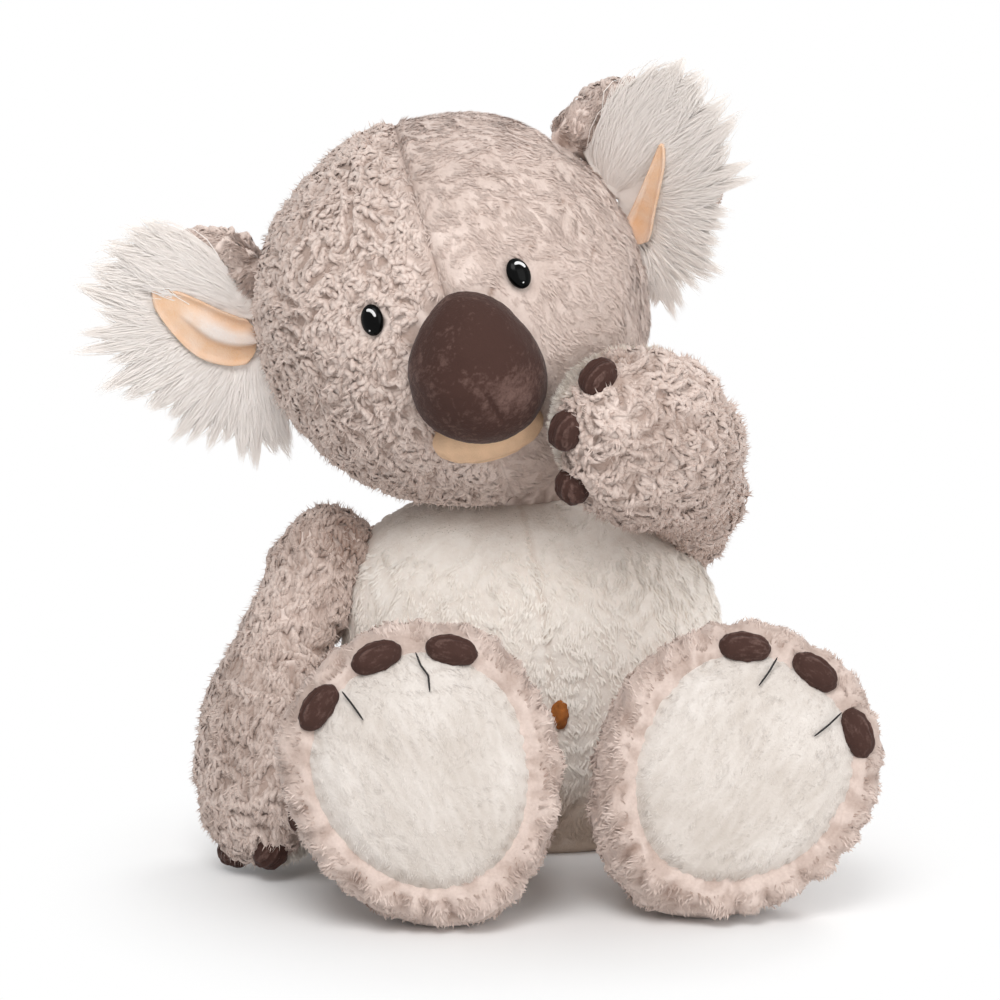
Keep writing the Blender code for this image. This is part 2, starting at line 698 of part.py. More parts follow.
def ear_frame(sign):
    """Place of an ear: its origin on the hinge line just off the head's skin."""
    ear_rise = LEFT_EAR_RISE if sign > 0 else RIGHT_EAR_RISE
    rise_turn = Matrix.Rotation(-sign * ear_rise, 4, "Y")
    side_turn = Matrix.Rotation(sign * EAR_SETBACK, 4, "Z")
    out = rise_turn @ side_turn @ Vector((sign, 0, 0))
    spot = head_spot(out)
    shares = head_shares(spot)
    normal = head_shares(shares).normalized()
    hinge = spot + normal * (EAR_ROLL_RADIUS + SEAM_GAP - EAR_SEATING)
    along = Vector((0, 0, 1)) - normal * normal.z
    forward = LEFT_EAR_FORWARD if sign > 0 else RIGHT_EAR_FORWARD
    resting = Matrix.Rotation(-sign * forward, 4, along.normalized()) @ normal
    return HEAD_PLACE @ frame_of(resting, along, hinge)


def ear_form(name, root, leaf, grow, finish):
    """An ear's leaf: a round root roll along the hinge, broad in the middle and thin at the rim.

    The leaf is its length, its half height and how far it is shifted along the hinge.
    """
    length, half_height, shift = leaf
    place = root @ Matrix.Translation((0, 0, shift))
    turn = place.to_3x3()
    rings = []
    for angle in ROUND_ROOT_ANGLES:
        centre = place @ Vector((-EAR_ROLL_RADIUS * sin(angle), 0, 0))
        height = turn @ Vector((0, 0, half_height * EAR_ROOT_SHARE * cos(angle / 2)))
        thickness = turn @ Vector((0, -EAR_ROLL_RADIUS * cos(angle) - grow, 0))
        rings.append((centre, height, thickness, 0))
    height = turn @ Vector((0, 0, half_height * EAR_ROOT_SHARE))
    rings.append((place.translation, height, turn @ Vector((0, -EAR_ROLL_RADIUS - grow, 0)), 0))
    for share, full in EAR_RING_SHARES:
        centre = place @ Vector((length * share, 0, 0))
        height = turn @ Vector((0, 0, half_height * full))
        thickness = turn @ Vector((0, -EAR_ROLL_RADIUS * sqrt(full) - grow, 0))
        rings.append((centre, height, thickness, 0))
    return loft(name, rings, LIMB_FACETS, finish)


def make_ear(side_name, sign):
    """Back, long-haired front and lining of one ear; the front reaches as far as its hair."""
    place = ear_frame(sign)
    shift = LEFT_EAR_SHIFT if sign > 0 else RIGHT_EAR_SHIFT
    reach = EAR_FRONT_LENGTH + abs(shift) + CUT_OVERRUN
    half_gap = SEAM_GAP / 2
    facing = sign * -1
    back_leaf = (EAR_BACK_LENGTH, EAR_BACK_HALF_HEIGHT, shift + EAR_BACK_LIFT)
    front_leaf = (EAR_FRONT_LENGTH, EAR_FRONT_HALF_HEIGHT, shift)
    back = ear_form("ear_back_" + side_name, place, back_leaf, 0, "taupe_plush")
    front = ear_form("ear_front_" + side_name, place, front_leaf, 0, "long_white_pile")
    near = sorted((-facing * half_gap, facing * reach))
    far = sorted((facing * half_gap, -facing * reach))
    cut_away(back, block("half", (-reach, near[0], -reach), (reach, near[1], reach), place))
    cut_away(front, block("half", (-reach, far[0], -reach), (reach, far[1], reach), place))
    lining_grow = SEAM_GAP + EAR_LINING_THICKNESS
    lining = ear_form("ear_lining_" + side_name, place, front_leaf, lining_grow, "peach_felt")
    middle = place @ Vector((
        EAR_FRONT_LENGTH * EAR_LINING_PLACE_SHARES[0],
        0,
        EAR_FRONT_HALF_HEIGHT * EAR_LINING_PLACE_SHARES[1] + shift,
    ))
    turn = place.to_3x3()
    rings = []
    for depth in (EAR_ROLL_RADIUS / 2, EAR_ROLL_RADIUS + CUT_OVERRUN):
        centre = middle + turn @ Vector((0, facing * depth, 0))
        length = turn @ Vector((EAR_LINING_LENGTH / 2, 0, 0))
        height = turn @ Vector((0, 0, EAR_LINING_HALF_HEIGHT))
        rings.append((centre, length, height, 0))
    keep_inside(lining, loft("lining_outline", rings, SMALL_FACETS, "stuffing"))
    cut_away(lining, ear_form("seat", place, front_leaf, SEAM_GAP, "stuffing"))
    return [back, front, lining]


# Where the limbs are rooted and how they rest


def unit(shares):
    """Direction of the given shares."""
    return Vector(shares).normalized()


def hanging_arm():
    """The right arm, which hangs beside the body with its palm inward."""
    seat = torso_side(TORSO_HEIGHT - HANGING_SHOULDER_DROP, -1)
    root = seat + Vector((-SHOULDER_STANDOFF, SHOULDER_SETBACK, 0))
    bend = root + unit(HANGING_UPPER_ARM_SHARES) * UPPER_ARM_LENGTH
    tip = bend + unit(HANGING_FOREARM_SHARES) * FOREARM_LENGTH
    flat_axis = unit(HANGING_FLAT_SHARES)
    return {"points": (root, bend, tip), "flat_axis": flat_axis, "claw_turn": HANGING_CLAW_TURN}


def raised_arm():
    """The left arm, bent up so that its palm lies against the cheek beside the mouth."""
    seat = torso_side(TORSO_HEIGHT - RAISED_SHOULDER_DROP, 1)
    root = seat + Vector((SHOULDER_STANDOFF, SHOULDER_SETBACK, 0))
    bend = root + unit(RAISED_UPPER_ARM_SHARES) * UPPER_ARM_LENGTH
    away = unit(RAISED_PAW_SHARES)
    cheek = HEAD_PLACE @ head_spot(HEAD_TURNED.inverted() @ away)
    tip = cheek + away * (CHEEK_CLEARANCE + PAW_HALF_THICKNESS)
    return {"points": (root, bend, tip), "flat_axis": away, "claw_turn": RAISED_CLAW_TURN}


def resting_foot(sign, roll, offset):
    """One foot's place, and the hip that its leg is rooted in."""
    across = sign * HIP_SPREAD
    root = torso_front(across, HIP_HEIGHT) - Vector((0, HIP_STANDOFF, 0))
    return {"place": foot_place(sign, roll, offset), "root": root}


def hang_on(pieces, name, centre, parent=None):
    """Hang pieces on an empty that stands on their joint."""
    pivot = bpy.data.objects.new(name, None)
    bpy.context.scene.collection.objects.link(pivot)
    pivot.empty_display_size = NECK_RADIUS
    pivot.parent = parent
    pivot.location = centre - parent.matrix_world.translation if parent else centre
    bpy.context.view_layer.update()
    for piece in pieces:
        piece.data.transform(Matrix.Translation(-centre))
        piece.parent = pivot
    return pivot


def main():
    """Build every piece and hang each group on its joint."""
    clear_scene()
    right_arm = hanging_arm()
    left_arm = raised_arm()
    right_foot = resting_foot(-1, RIGHT_FOOT_ROLL, RIGHT_FOOT_OFFSET)
    left_foot = resting_foot(1, LEFT_FOOT_ROLL, LEFT_FOOT_OFFSET)
    sockets = [(NECK_POINT, NECK_RADIUS)]
    for arm in (right_arm, left_arm):
        sockets.append((arm["points"][0], SHOULDER_RADIUS + SHOULDER_CLEARANCE))
    for foot in (right_foot, left_foot):
        sockets.append((foot["root"], HIP_RADIUS))
    torso = hang_on(make_torso(sockets), "torso_pivot", Vector((0, 0, 0)))
    wad_place = Matrix.Translation(NECK_POINT)
    wad = rounded("neck_stuffing", (NECK_RADIUS,) * 3, wad_place, SOCKET_FACETS, "stuffing")
    neck = hang_on([wad], "neck_pivot", NECK_POINT, torso)
    head = hang_on(make_head(), "head_pivot", NECK_POINT, neck)
    for side_name, sign in (("right", -1), ("left", 1)):
        hinge = ear_frame(sign).translation
        hang_on(make_ear(side_name, sign), "ear_pivot_" + side_name, hinge, head)
    for side_name, arm in (("right", right_arm), ("left", left_arm)):
        hang_on(make_arm(side_name, arm), "shoulder_pivot_" + side_name, arm["points"][0], torso)
    for side_name, foot in (("right", right_foot), ("left", left_foot)):
        hang_on(make_leg(side_name, foot), "hip_pivot_" + side_name, foot["root"], torso)


main()
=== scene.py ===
"""The looks of a seated plush koala: plush skins, pile, long-haired ears, velour nose and felt pieces.

Every skin is a surface worked out from two parameters, and its pile is a set of thin tapering hairs and of bent,
rounded locks that are rooted on that surface. Lengths are in metres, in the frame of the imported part.
"""

import bpy
import numpy as np
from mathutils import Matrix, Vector


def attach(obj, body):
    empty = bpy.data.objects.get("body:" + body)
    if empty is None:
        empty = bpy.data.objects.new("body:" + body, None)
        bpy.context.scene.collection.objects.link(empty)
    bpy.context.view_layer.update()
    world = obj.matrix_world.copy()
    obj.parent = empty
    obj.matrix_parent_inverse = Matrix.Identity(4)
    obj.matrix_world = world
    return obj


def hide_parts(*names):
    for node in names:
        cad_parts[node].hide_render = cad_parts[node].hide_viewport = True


bl_info = {
    "name": "Plush koala",
    "version": (1, 0, 0),
    "blender": (4, 5, 0),
    "location": "3D View > Sidebar > Koala",
    "description": "Dresses the packed parts of a seated plush koala",
    "category": "Object",
}

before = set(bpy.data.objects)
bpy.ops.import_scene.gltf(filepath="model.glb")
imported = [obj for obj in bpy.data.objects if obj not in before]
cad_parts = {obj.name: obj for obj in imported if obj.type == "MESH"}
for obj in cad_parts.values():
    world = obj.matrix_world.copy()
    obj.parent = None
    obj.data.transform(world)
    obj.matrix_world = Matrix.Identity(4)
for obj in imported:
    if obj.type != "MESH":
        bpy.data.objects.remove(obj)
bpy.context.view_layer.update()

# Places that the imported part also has: a centre and three axes, or for an arm its shoulder, elbow and paw and the
# way that the back of its paw faces, or for a claw its spot, the way out of the cloth and the way along it

HEAD = ((-0.0357, -0.0202, 0.2065), (0.9497, -0.0773, 0.3034), (0.0195, 0.9818, 0.1891), (-0.3125, -0.1736, 0.9339))
NOSE = ((-0.0342, -0.0862, 0.1947), (0.9919, -0.0427, 0.1196), (0.0195, 0.9818, 0.1891), (-0.1255, -0.1852, 0.9747))
LIP = ((-0.0286, -0.0763, 0.1683), (0.9601, -0.0711, 0.2706), (0.0195, 0.9818, 0.1891), (-0.2791, -0.1762, 0.9440))
EARS = {
    "right": (
        (-0.1144, -0.0082, 0.2043),
        (-0.9966, -0.0353, -0.0751), (0.0511, -0.9741, -0.2203), (-0.0653, -0.2234, 0.9725),
    ),
    "left": (
        (0.0352, -0.0185, 0.2423),
        (0.7737, -0.5748, 0.2667), (-0.4581, -0.7982, -0.3913), (-0.4378, -0.1806, 0.8808),
    ),
}
ARMS = {
    "right": (
        (-0.0809, -0.0034, 0.108), (-0.1168, -0.0127, 0.0634), (-0.1057, -0.0659, 0.0132), (-0.795, -0.4969, 0.3478),
    ),
    "left": ((0.0524, -0.0047, 0.122), (0.064, -0.0555, 0.1474), (0.0012, -0.1016, 0.1834), (0.4006, -0.8814, -0.2504)),
}
FEET = {
    "right": ((-0.0554, -0.092, 0.048), (0.9272, 0.0521, 0.371), (0.0, 0.9903, -0.1392), (-0.3746, 0.129, 0.9182)),
    "left": ((0.0527, -0.092, 0.0461), (0.788, -0.0857, -0.6097), (0.0, 0.9903, -0.1392), (0.6157, 0.1097, 0.7803)),
}
HIPS = {"right": (-0.044, -0.0505, 0.036), "left": (0.044, -0.0495, 0.036)}
EYES = {"right": (-0.0702, -0.0794, 0.2097), "left": (-0.0186, -0.0836, 0.2261)}
NECK_POINT = (-0.012, -0.007, 0.1355)
SHOULDER_SHADE = (-0.0755, -0.020, 0.125)
CHIN_TUFTS_LIT = (-0.034, -0.078, 0.152)
NAVEL_POINT = (0.0, -0.0573, 0.059)
ARM_CLAWS = {
    "right": (
        ((-0.0954, -0.0715, 0.028), (0.396, -0.8776, -0.2702), (-0.4578, 0.0664, -0.8866)),
        ((-0.1077, -0.0639, 0.0114), (0.0091, -0.6296, -0.7769), (-0.6053, 0.615, -0.5054)),
        ((-0.1203, -0.0458, 0.0076), (-0.3821, -0.087, -0.92), (-0.4695, 0.8758, 0.1122)),
    ),
    "left": (
        ((0.0005, -0.0887, 0.1501), (-0.7982, -0.279, -0.5338), (-0.3395, -0.5237, 0.7814)),
        ((-0.0033, -0.0998, 0.172), (-0.8297, -0.5504, 0.0933), (0.253, -0.2218, 0.9417)),
        ((0.008, -0.1004, 0.1908), (-0.4729, -0.5642, 0.6768), (0.7272, 0.1839, 0.6614)),
    ),
}
FOOT_CLAWS = {
    "right": (
        ((-0.0935, -0.1292, 0.0805), (-0.8167, 0.0803, 0.5715), (-0.5771, -0.1137, -0.8087)),
        ((-0.0731, -0.1269, 0.0973), (-0.3746, 0.129, 0.9182), (-0.9272, -0.0521, -0.371)),
        ((-0.0467, -0.1266, 0.0992), (0.1866, 0.1367, 0.9729), (-0.9824, 0.026, 0.1848)),
    ),
    "left": (
        ((0.057, -0.1265, 0.098), (0.0914, 0.1386, 0.9861), (-0.9958, 0.0127, 0.0905)),
        ((0.0819, -0.1278, 0.0889), (0.6157, 0.1097, 0.7803), (-0.788, 0.0857, 0.6097)),
        ((0.0968, -0.1309, 0.0671), (0.9441, 0.0459, 0.3264), (-0.3296, 0.1314, 0.9349)),
    ),
}


# Sizes and colours that a user would change


def length(name, description, default):
    """A length property."""
    return bpy.props.FloatProperty(name=name, description=description, default=default, unit="LENGTH", precision=4)


def colour(name, description, default):
    """A colour property, in linear values."""
    return bpy.props.FloatVectorProperty(
        name=name, description=description, default=default, subtype="COLOR", size=3, min=0, max=1
    )


class KoalaSizes(bpy.types.PropertyGroup):
    """Sizes of the koala's forms and of its pile."""

    head_width: length("Head half width", "Half of the head's width", 0.072)
    head_depth: length("Head half depth", "Half of the head's depth", 0.067)
    head_height: length("Head half height", "Half of the head's height", 0.0725)
    nose_width: length("Nose half width", "Half of the nose's width", 0.0243)
    nose_height: length("Nose half height", "Half of the nose's height", 0.028)
    torso_width: length("Body half width", "Half of the body's width", 0.073)
    torso_depth: length("Body half depth", "Half of the body's depth", 0.056)
    torso_height: length("Body height", "Height of the body up to the neck", 0.1355)
    paw_width: length("Paw half width", "Half of the paw's width", 0.032)
    paw_thickness: length("Paw half thickness", "Half of the paw's thickness", 0.0195)
    foot_width: length("Foot half width", "Half of the foot's width", 0.048)
    foot_height: length("Foot half height", "Half of the foot's height", 0.0545)
    foot_depth: length("Foot depth", "Depth of the foot behind its sole", 0.046)
    curl_height: length("Curl height", "How far the curls of the pile stand up", 0.0016)
    pile_length: length("Pile length", "Length of the taupe pile", 0.0050)


class KoalaColours(bpy.types.PropertyGroup):
    """Colours of the koala's cloths."""

    # The deep and tip colours of each plush are that plush in shade and in light. The tone between them paints shade
    # into valleys, at roots and low on the belly, and light onto crests and tips, besides tone that differs at random.
    taupe_shaded: colour("Taupe, deep", "Taupe plush between the curls", (0.33, 0.225, 0.18))
    taupe_lit: colour("Taupe, tips", "Taupe plush at the tips", (0.82, 0.69, 0.625))
    white_shaded: colour("White, deep", "White plush between the tufts", (0.58, 0.45, 0.36))
    white_lit: colour("White, tips", "White plush at the tips", (0.97, 0.915, 0.85))
    sole: colour("Soles", "Short plush of the soles", (0.76, 0.705, 0.66))
    ear_hair: colour("Ear hair", "Long white hair of the ears", (0.98, 0.93, 0.89))
    peach: colour("Peach felt", "Felt of the lip and the ear linings", (0.83, 0.56, 0.36))
    nose: colour("Nose", "Dark brown velour", (0.060, 0.029, 0.023))
    # Nose, brushed is the velour's painted sheen: its lighter brushed patches and a painted highlight low on the nose's
    # left.
    nose_sheen: colour("Nose, brushed", "Brushed parts of the velour", (0.170, 0.102, 0.086))
    eye: colour("Eyes", "Black shiny eyes", (0.0015, 0.0015, 0.0015))
    navel: colour("Navel patch", "Orange-brown felt", (0.47, 0.16, 0.04))


# Noise and ropes over points in space


def lattice(seed):
    """A shuffled order and unit directions for the lattice of one seed."""
    rng = np.random.default_rng(seed)
    directions = rng.normal(size=(256, 3))
    directions /= np.linalg.norm(directions, axis=1, keepdims=True)
    return rng.permutation(256), directions


def lattice_key(order, cell):
    """One of 256 numbers for each cell, from its three whole coordinates."""
    first = order[cell[:, 0] & 255]
    second = order[(first + cell[:, 1]) & 255]
    return order[(second + cell[:, 2]) & 255]


def noise(points, size, seed):
    """Smooth noise of a wavelength: each lattice corner's direction dotted with the way to it, eased together."""
    order, directions = lattice(seed)
    scaled = points / size
    cell = np.floor(scaled).astype(np.int64)
    inner = scaled - cell
    ease = inner**3 * (inner * (inner * 6 - 15) + 10)
    total = np.zeros(len(points))
    for corner in range(8):
        step = np.array((corner & 1, corner >> 1 & 1, corner >> 2 & 1))
        pull = ((inner - step) * directions[lattice_key(order, cell + step)]).sum(1)
        total += pull * np.where(step, ease, 1 - ease).prod(1)
    return total * 1.6


def warp(points, size, reach, seed):
    """Points moved by three noises, so that what is read there swirls."""
    shift = np.stack([noise(points, size, seed + axis) for axis in range(3)], 1)
    return points + shift * reach


def rope_field(points, size, seed):
    """A swirled noise whose zero lines are the crests of winding ropes of pile."""
    return noise(warp(points, size * 1.7, size * 0.75, seed + 1), size, seed)


def ropes(points, normals, size, seed):
    """Way to the nearest crest of winding ropes, the distance from it in rope widths, and the heading along it.

    The slope of the field is read from three small steps, and one step down it leads to the crest.
    """
    step = size * 0.03
    middle = rope_field(points, size, seed)
    slope = np.stack([rope_field(points + step * axis, size, seed) - middle for axis in np.eye(3)], 1) / step
    slope -= normals * (slope * normals).sum(1, keepdims=True)
    steep = np.maximum((slope**2).sum(1), (0.6 / size) ** 2)
    way = -slope * (middle / steep)[:, None]
    far = np.linalg.norm(way, axis=1)
    way *= np.minimum(1, size * 0.33 / np.maximum(far, 1e-9))[:, None]
    return way, np.clip(np.abs(middle) / 0.40, 0, 1), unit(np.cross(normals, slope))


def curls(points, size, seed):
    """Height share of curly plush: winding ropes with valleys between them. Skins take it as their tone as well, which
    paints shade into the valleys.
    """
    return 1 - 0.75 * np.clip(np.abs(rope_field(points, size, seed)) / 0.40, 0, 1) ** 2


def ease(value):
    """A smooth step from 0 to 1."""
    value = np.clip(value, 0, 1)
    return value * value * (3 - 2 * value)


def unit(vectors):
    """Vectors of length 1."""
    return vectors / np.maximum(np.linalg.norm(vectors, axis=-1, keepdims=True), 1e-12)


def placed(points, place):
    """Points given along a place's axes, in the part's frame."""
    centre, *axes = (np.array(part) for part in place)
    return centre + points @ np.stack(axes)


def along_axes(points, place):
    """Points of the part's frame, given along a place's axes."""
    centre, *axes = (np.array(part) for part in place)
    return (points - centre) @ np.stack(axes).T


# Meshes from grids and locks


def new_piece(name, verts, quads, tris, tone=None):
    """A smooth mesh from arrays, with the tone of each point as an attribute."""
    mesh = bpy.data.meshes.new(name)
    corners = np.concatenate([quads.ravel(), tris.ravel()]).astype(np.int32)
    starts = np.concatenate([np.arange(len(quads)) * 4, len(quads) * 4 + np.arange(len(tris)) * 3]).astype(np.int32)
    mesh.vertices.add(len(verts))
    mesh.vertices.foreach_set("co", verts.astype(np.float32).ravel())
    mesh.loops.add(len(corners))
    mesh.loops.foreach_set("vertex_index", corners)
    mesh.polygons.add(len(starts))
    mesh.polygons.foreach_set("loop_start", starts)
    mesh.update(calc_edges=True)
    mesh.shade_smooth()
    if tone is not None:
        mesh.attributes.new("tone", "FLOAT", "POINT").data.foreach_set("value", tone.astype(np.float32))
    piece = bpy.data.objects.new(name, mesh)
    bpy.context.scene.collection.objects.link(piece)
    return piece


def grid_slopes(grid, closed):
    """Steps along both parameters of a grid, read from its neighbours."""
    down = np.gradient(grid, axis=0)
    if closed:
        across = (np.roll(grid, -1, 1) - np.roll(grid, 1, 1)) / 2
    else:
        across = np.gradient(grid, axis=1)
    return down, across


def grid_normals(grid, closed=True, outward=None):
    """Unit normals of a grid, turned to point away from each row's middle, or along the way given."""
    down, across = grid_slopes(grid, closed)
    normals = unit(np.cross(down, across))
    if outward is None:
        away = grid - grid.mean(1, keepdims=True)
    else:
        away = np.broadcast_to(outward, grid.shape)
    return -normals if (normals * away).sum() < 0 else normals


def grid_piece(name, grid, tone=None, closed=True, caps=(True, True), outward=None):
    """A skin from a grid of rows; its ends close on a point in the middle of the end rows."""
    rows, columns = grid.shape[:2]
    index = np.arange(rows * columns).reshape(rows, columns)
    if closed:
        index = np.concatenate([index, index[:, :1]], 1)
    quads = np.stack([index[:-1, :-1], index[:-1, 1:], index[1:, 1:], index[1:, :-1]], -1).reshape(-1, 4)
    verts = [grid.reshape(-1, 3)]
    tones = [np.full(rows * columns, 0.5) if tone is None else tone.ravel()]
    tris = []
    for row, wanted, flip in ((0, caps[0], 1), (-1, caps[1], -1)):
        if wanted:
            pole = rows * columns + len(tris)
            verts.append(grid[row].mean(0, keepdims=True))
            tones.append(tones[0].reshape(rows, columns)[row].mean(keepdims=True))
            fan = np.stack([np.full(len(index[row]) - 1, pole), index[row][1:], index[row][:-1]], -1)
            tris.append(fan[:, ::flip])
    verts = np.concatenate(verts)
    tris = np.concatenate(tris) if tris else np.zeros((0, 3), int)
    down, across = grid_slopes(grid, closed)
    facing = (np.cross(down, across) * grid_normals(grid, closed, outward)).sum()
    if facing > 0:
        quads = quads[:, ::-1]
        tris = tris[:, ::-1]
    return new_piece(name, verts, quads, tris, np.concatenate(tones))


def scatter(grid, normals, count, seed, closed=True):
    """Roots spread evenly over a grid: a cell drawn by its area, and a place drawn inside it."""
    rng = np.random.default_rng(seed)
    if closed:
        grid = np.concatenate([grid, grid[:, :1]], 1)
        normals = np.concatenate([normals, normals[:, :1]], 1)
    sides = grid[1:, :-1] - grid[:-1, :-1], grid[:-1, 1:] - grid[:-1, :-1]
    area = np.linalg.norm(np.cross(*sides), axis=-1).ravel()
    cell = rng.choice(len(area), count, p=area / area.sum())
    row, column = np.divmod(cell, grid.shape[1] - 1)
    across, down = rng.random((2, count, 1))

    def read(values):
        upper = values[row, column] * (1 - across) + values[row, column + 1] * across
        lower = values[row + 1, column] * (1 - across) + values[row + 1, column + 1] * across
        return upper * (1 - down) + lower * down

    return read(grid), unit(read(normals))


def strips(name, curve, sides, tones):
    """A mesh of tapering strips: two points across at every step of a curve, and one at its tip."""
    count, rings = curve.shape[:2]
    steps = rings - 1
    pairs = np.stack([curve - sides, curve + sides], 2)[:, :-1].reshape(count, -1, 3)
    verts = np.concatenate([pairs, curve[:, -1:]], 1)
    tones = np.concatenate([np.repeat(tones[:, :-1], 2, 1), tones[:, -1:]], 1)
    first = (np.arange(count) * (2 * steps + 1))[:, None]
    quads = np.concatenate([first + 2 * level + np.array((0, 1, 3, 2)) for level in range(steps - 1)])
    tris = first + 2 * steps + np.array((-2, -1, 0))
    return new_piece(name, verts.reshape(-1, 3), quads, tris, np.clip(tones, 0, 1).ravel())


def pile(name, roots, normals, flow, look):
    """Hairs of pile, each a tapering strip that lies over along its rope or lock and is drawn to its middle line.

    Hairs near the middle stand higher, and those beside it are turned outward, so that each rope is round.
    The tone runs from the root to the tip and falls towards the valleys: painted shade at the roots and in the valleys.
    """
    rng = np.random.default_rng(look["seed"])
    count = len(roots)
    steps = 2
    flow = unit(flow - normals * (flow * normals).sum(1, keepdims=True))
    way, distance, along = ropes(roots, normals, look["rope"], look["rope_seed"])
    crest = roots + way
    number = 0.5 + 0.5 * noise(crest, look["rope"] * 1.5, look["seed"] + 9)
    toward = (along * flow).sum(1) + look["backward"] * noise(crest, look["rope"] * 2.5, look["seed"] + 5)
    flow = unit(flow * look["follow"] + along * np.sign(toward)[:, None])
    beside = np.cross(normals, flow)
    turn = noise(crest, look["swirl_size"], look["seed"] + 1) * look["swirl"] + rng.normal(0, look["stray"], count)
    bend = rng.normal(0, look["curl"], count)
    reach = look["length"] * (0.75 + 0.5 * number) * (0.8 + 0.4 * rng.random(count))
    width = look["width"] * (0.7 + 0.6 * rng.random(count))
    shade = rng.random(count)
    crown = look["loft"] * (1 - distance**2)
    tilted = unit(normals - way * (look["round"] / look["rope"]))
    share = np.linspace(0, 1, steps + 1)
    point = roots - normals * look["sink"]
    curve = [point]
    sides = []
    for level in share:
        heading = flow * np.cos(turn + bend * level)[:, None] + beside * np.sin(turn + bend * level)[:, None]
        lean = (look["lean"][0] + (look["lean"][1] - look["lean"][0]) * level) * (0.94 + 0.12 * shade)
        wide = width * (0.85 + 0.5 * level) * (1 - level) ** 0.5 / 2
        sides.append(unit(np.cross(heading, tilted)) * wide[:, None])
        if level < 1:
            step = normals * np.cos(lean)[:, None] + heading * np.sin(lean)[:, None]
            rise = crown * (1.3 - level * 0.8) / steps
            point = point + step * (reach / steps)[:, None] + way * (look["pull"] / steps) + normals * rise[:, None]
            curve.append(point)
    tone = look["tone"][0] + (look["tone"][1] - look["tone"][0]) * share[None] ** 0.7
    offset = look["vary"] * (shade - 0.5) + 0.12 * (number - 0.5) - look["rim"] * distance**2 + look.get("shadow", 0)
    return strips(name, np.stack(curve, 1), np.stack(sides, 1), tone + offset[:, None])


def curl_locks(name, roots, normals, flow, look):
    """Curly pile: bent, rounded locks that rise out of the skin, lie along their rope and dip back into it.

    Each lock turns evenly along its length, stands up as the sine of its share, is widest in its middle and has
    a middle line raised over its edges. Its edges and its ends are deeper in tone and its middle line lighter: painted
    shade where it dips into the skin and painted light on its crest. Locks in the valleys are deeper still, as painted
    shade.
    """
    rng = np.random.default_rng(look["seed"])
    count = len(roots)
    steps = 5
    flow = unit(flow - normals * (flow * normals).sum(1, keepdims=True))
    way, distance, along = ropes(roots, normals, look["rope"], look["rope_seed"])
    toward = (along * flow).sum(1) + look["backward"] * noise(roots, look["rope"] * 2.5, look["seed"] + 5)
    flow = unit(flow * look["follow"] + along * np.sign(toward)[:, None])
    beside = np.cross(normals, flow)
    turn = rng.normal(0, look["stray"], count)
    bend = rng.choice((-1.0, 1.0), count) * rng.uniform(0.4, 1.0, count) * look["bend"]
    reach = look["length"] * (0.7 + 0.6 * rng.random(count))
    width = look["width"] * (0.75 + 0.5 * rng.random(count))
    rise = look["loft"] * (0.55 + 0.9 * rng.random(count)) * (1 - 0.5 * distance**2)
    share = np.linspace(0, 1, steps + 1)
    angles = turn[:, None] + bend[:, None] * (share[None] - 0.5) * 2
    headings = flow[:, None] * np.cos(angles)[..., None] + beside[:, None] * np.sin(angles)[..., None]
    run = np.cumsum(headings, 1) * (reach / steps)[:, None, None]
    run = run - run[:, steps // 2 : steps // 2 + 1]
    height = rise[:, None] * np.sin(np.pi * share[None]) ** 0.7 - look["sink"] - (run**2).sum(2) * look["round"]
    curve = (roots + way * look["pull"])[:, None] + run + normals[:, None] * height[..., None]
    half = width[:, None] / 2 * np.sqrt(1 - np.abs(2 * share[None, 1:-1] - 1) ** 3)
    sides = unit(np.cross(headings, normals[:, None]))[:, 1:-1] * half[..., None]
    crowns = normals[:, None] * (half * 0.8)[..., None]
    inner = curve[:, 1:-1]
    across = np.stack([inner - sides, inner + crowns, inner + sides], 2).reshape(count, -1, 3)
    verts = np.concatenate([curve[:, :1], across, curve[:, -1:]], 1)
    arch = np.sin(np.pi * share[1:-1])[None, :, None]
    ridge = np.array((0.0, 1.0, 0.0))[None, None]
    tone = look["tone"][0] + (look["tone"][1] - look["tone"][0]) * (0.35 * arch + 0.65 * ridge * arch**0.5)
    ends = np.full((1, 1), look["tone"][0])
    tone = np.concatenate([ends, tone.reshape(1, -1), ends], 1)
    offset = look["vary"] * rng.normal(0, 1, count) - look["rim"] * distance**2 + look.get("shadow", 0)
    size = verts.shape[1]
    first = (np.arange(count) * size)[:, None]
    quads = [first + 1 + 3 * level + side + np.array((0, 1, 4, 3)) for level in range(steps - 2) for side in (0, 1)]
    last = size - 4
    corners = (0, 2, 1), (0, 3, 2), (last, last + 1, size - 1), (last + 1, last + 2, size - 1)
    tris = [first + np.array(three) for three in corners]
    tones = np.clip(tone + offset[:, None], 0, 1)
    return new_piece(name, verts.reshape(-1, 3), np.concatenate(quads), np.concatenate(tris), tones.ravel())


# Shader maths


class Value:
    """A socket that can be added, taken away and multiplied; each sign adds one Math node."""

    def __init__(self, board, socket):
        self.board = board
        self.socket = socket

    def math(self, operation, first, second=0.0):
        return self.board.node("ShaderNodeMath", {"operation": operation, "use_clamp": False}, [first, second])

    def __add__(self, other):
        return self.math("ADD", self, other)

    def __sub__(self, other):
        return self.math("SUBTRACT", self, other)

    def __mul__(self, other):
        return self.math("MULTIPLY", self, other)

    def __rsub__(self, other):
        return self.math("SUBTRACT", other, self)

    __radd__ = __add__
    __rmul__ = __mul__


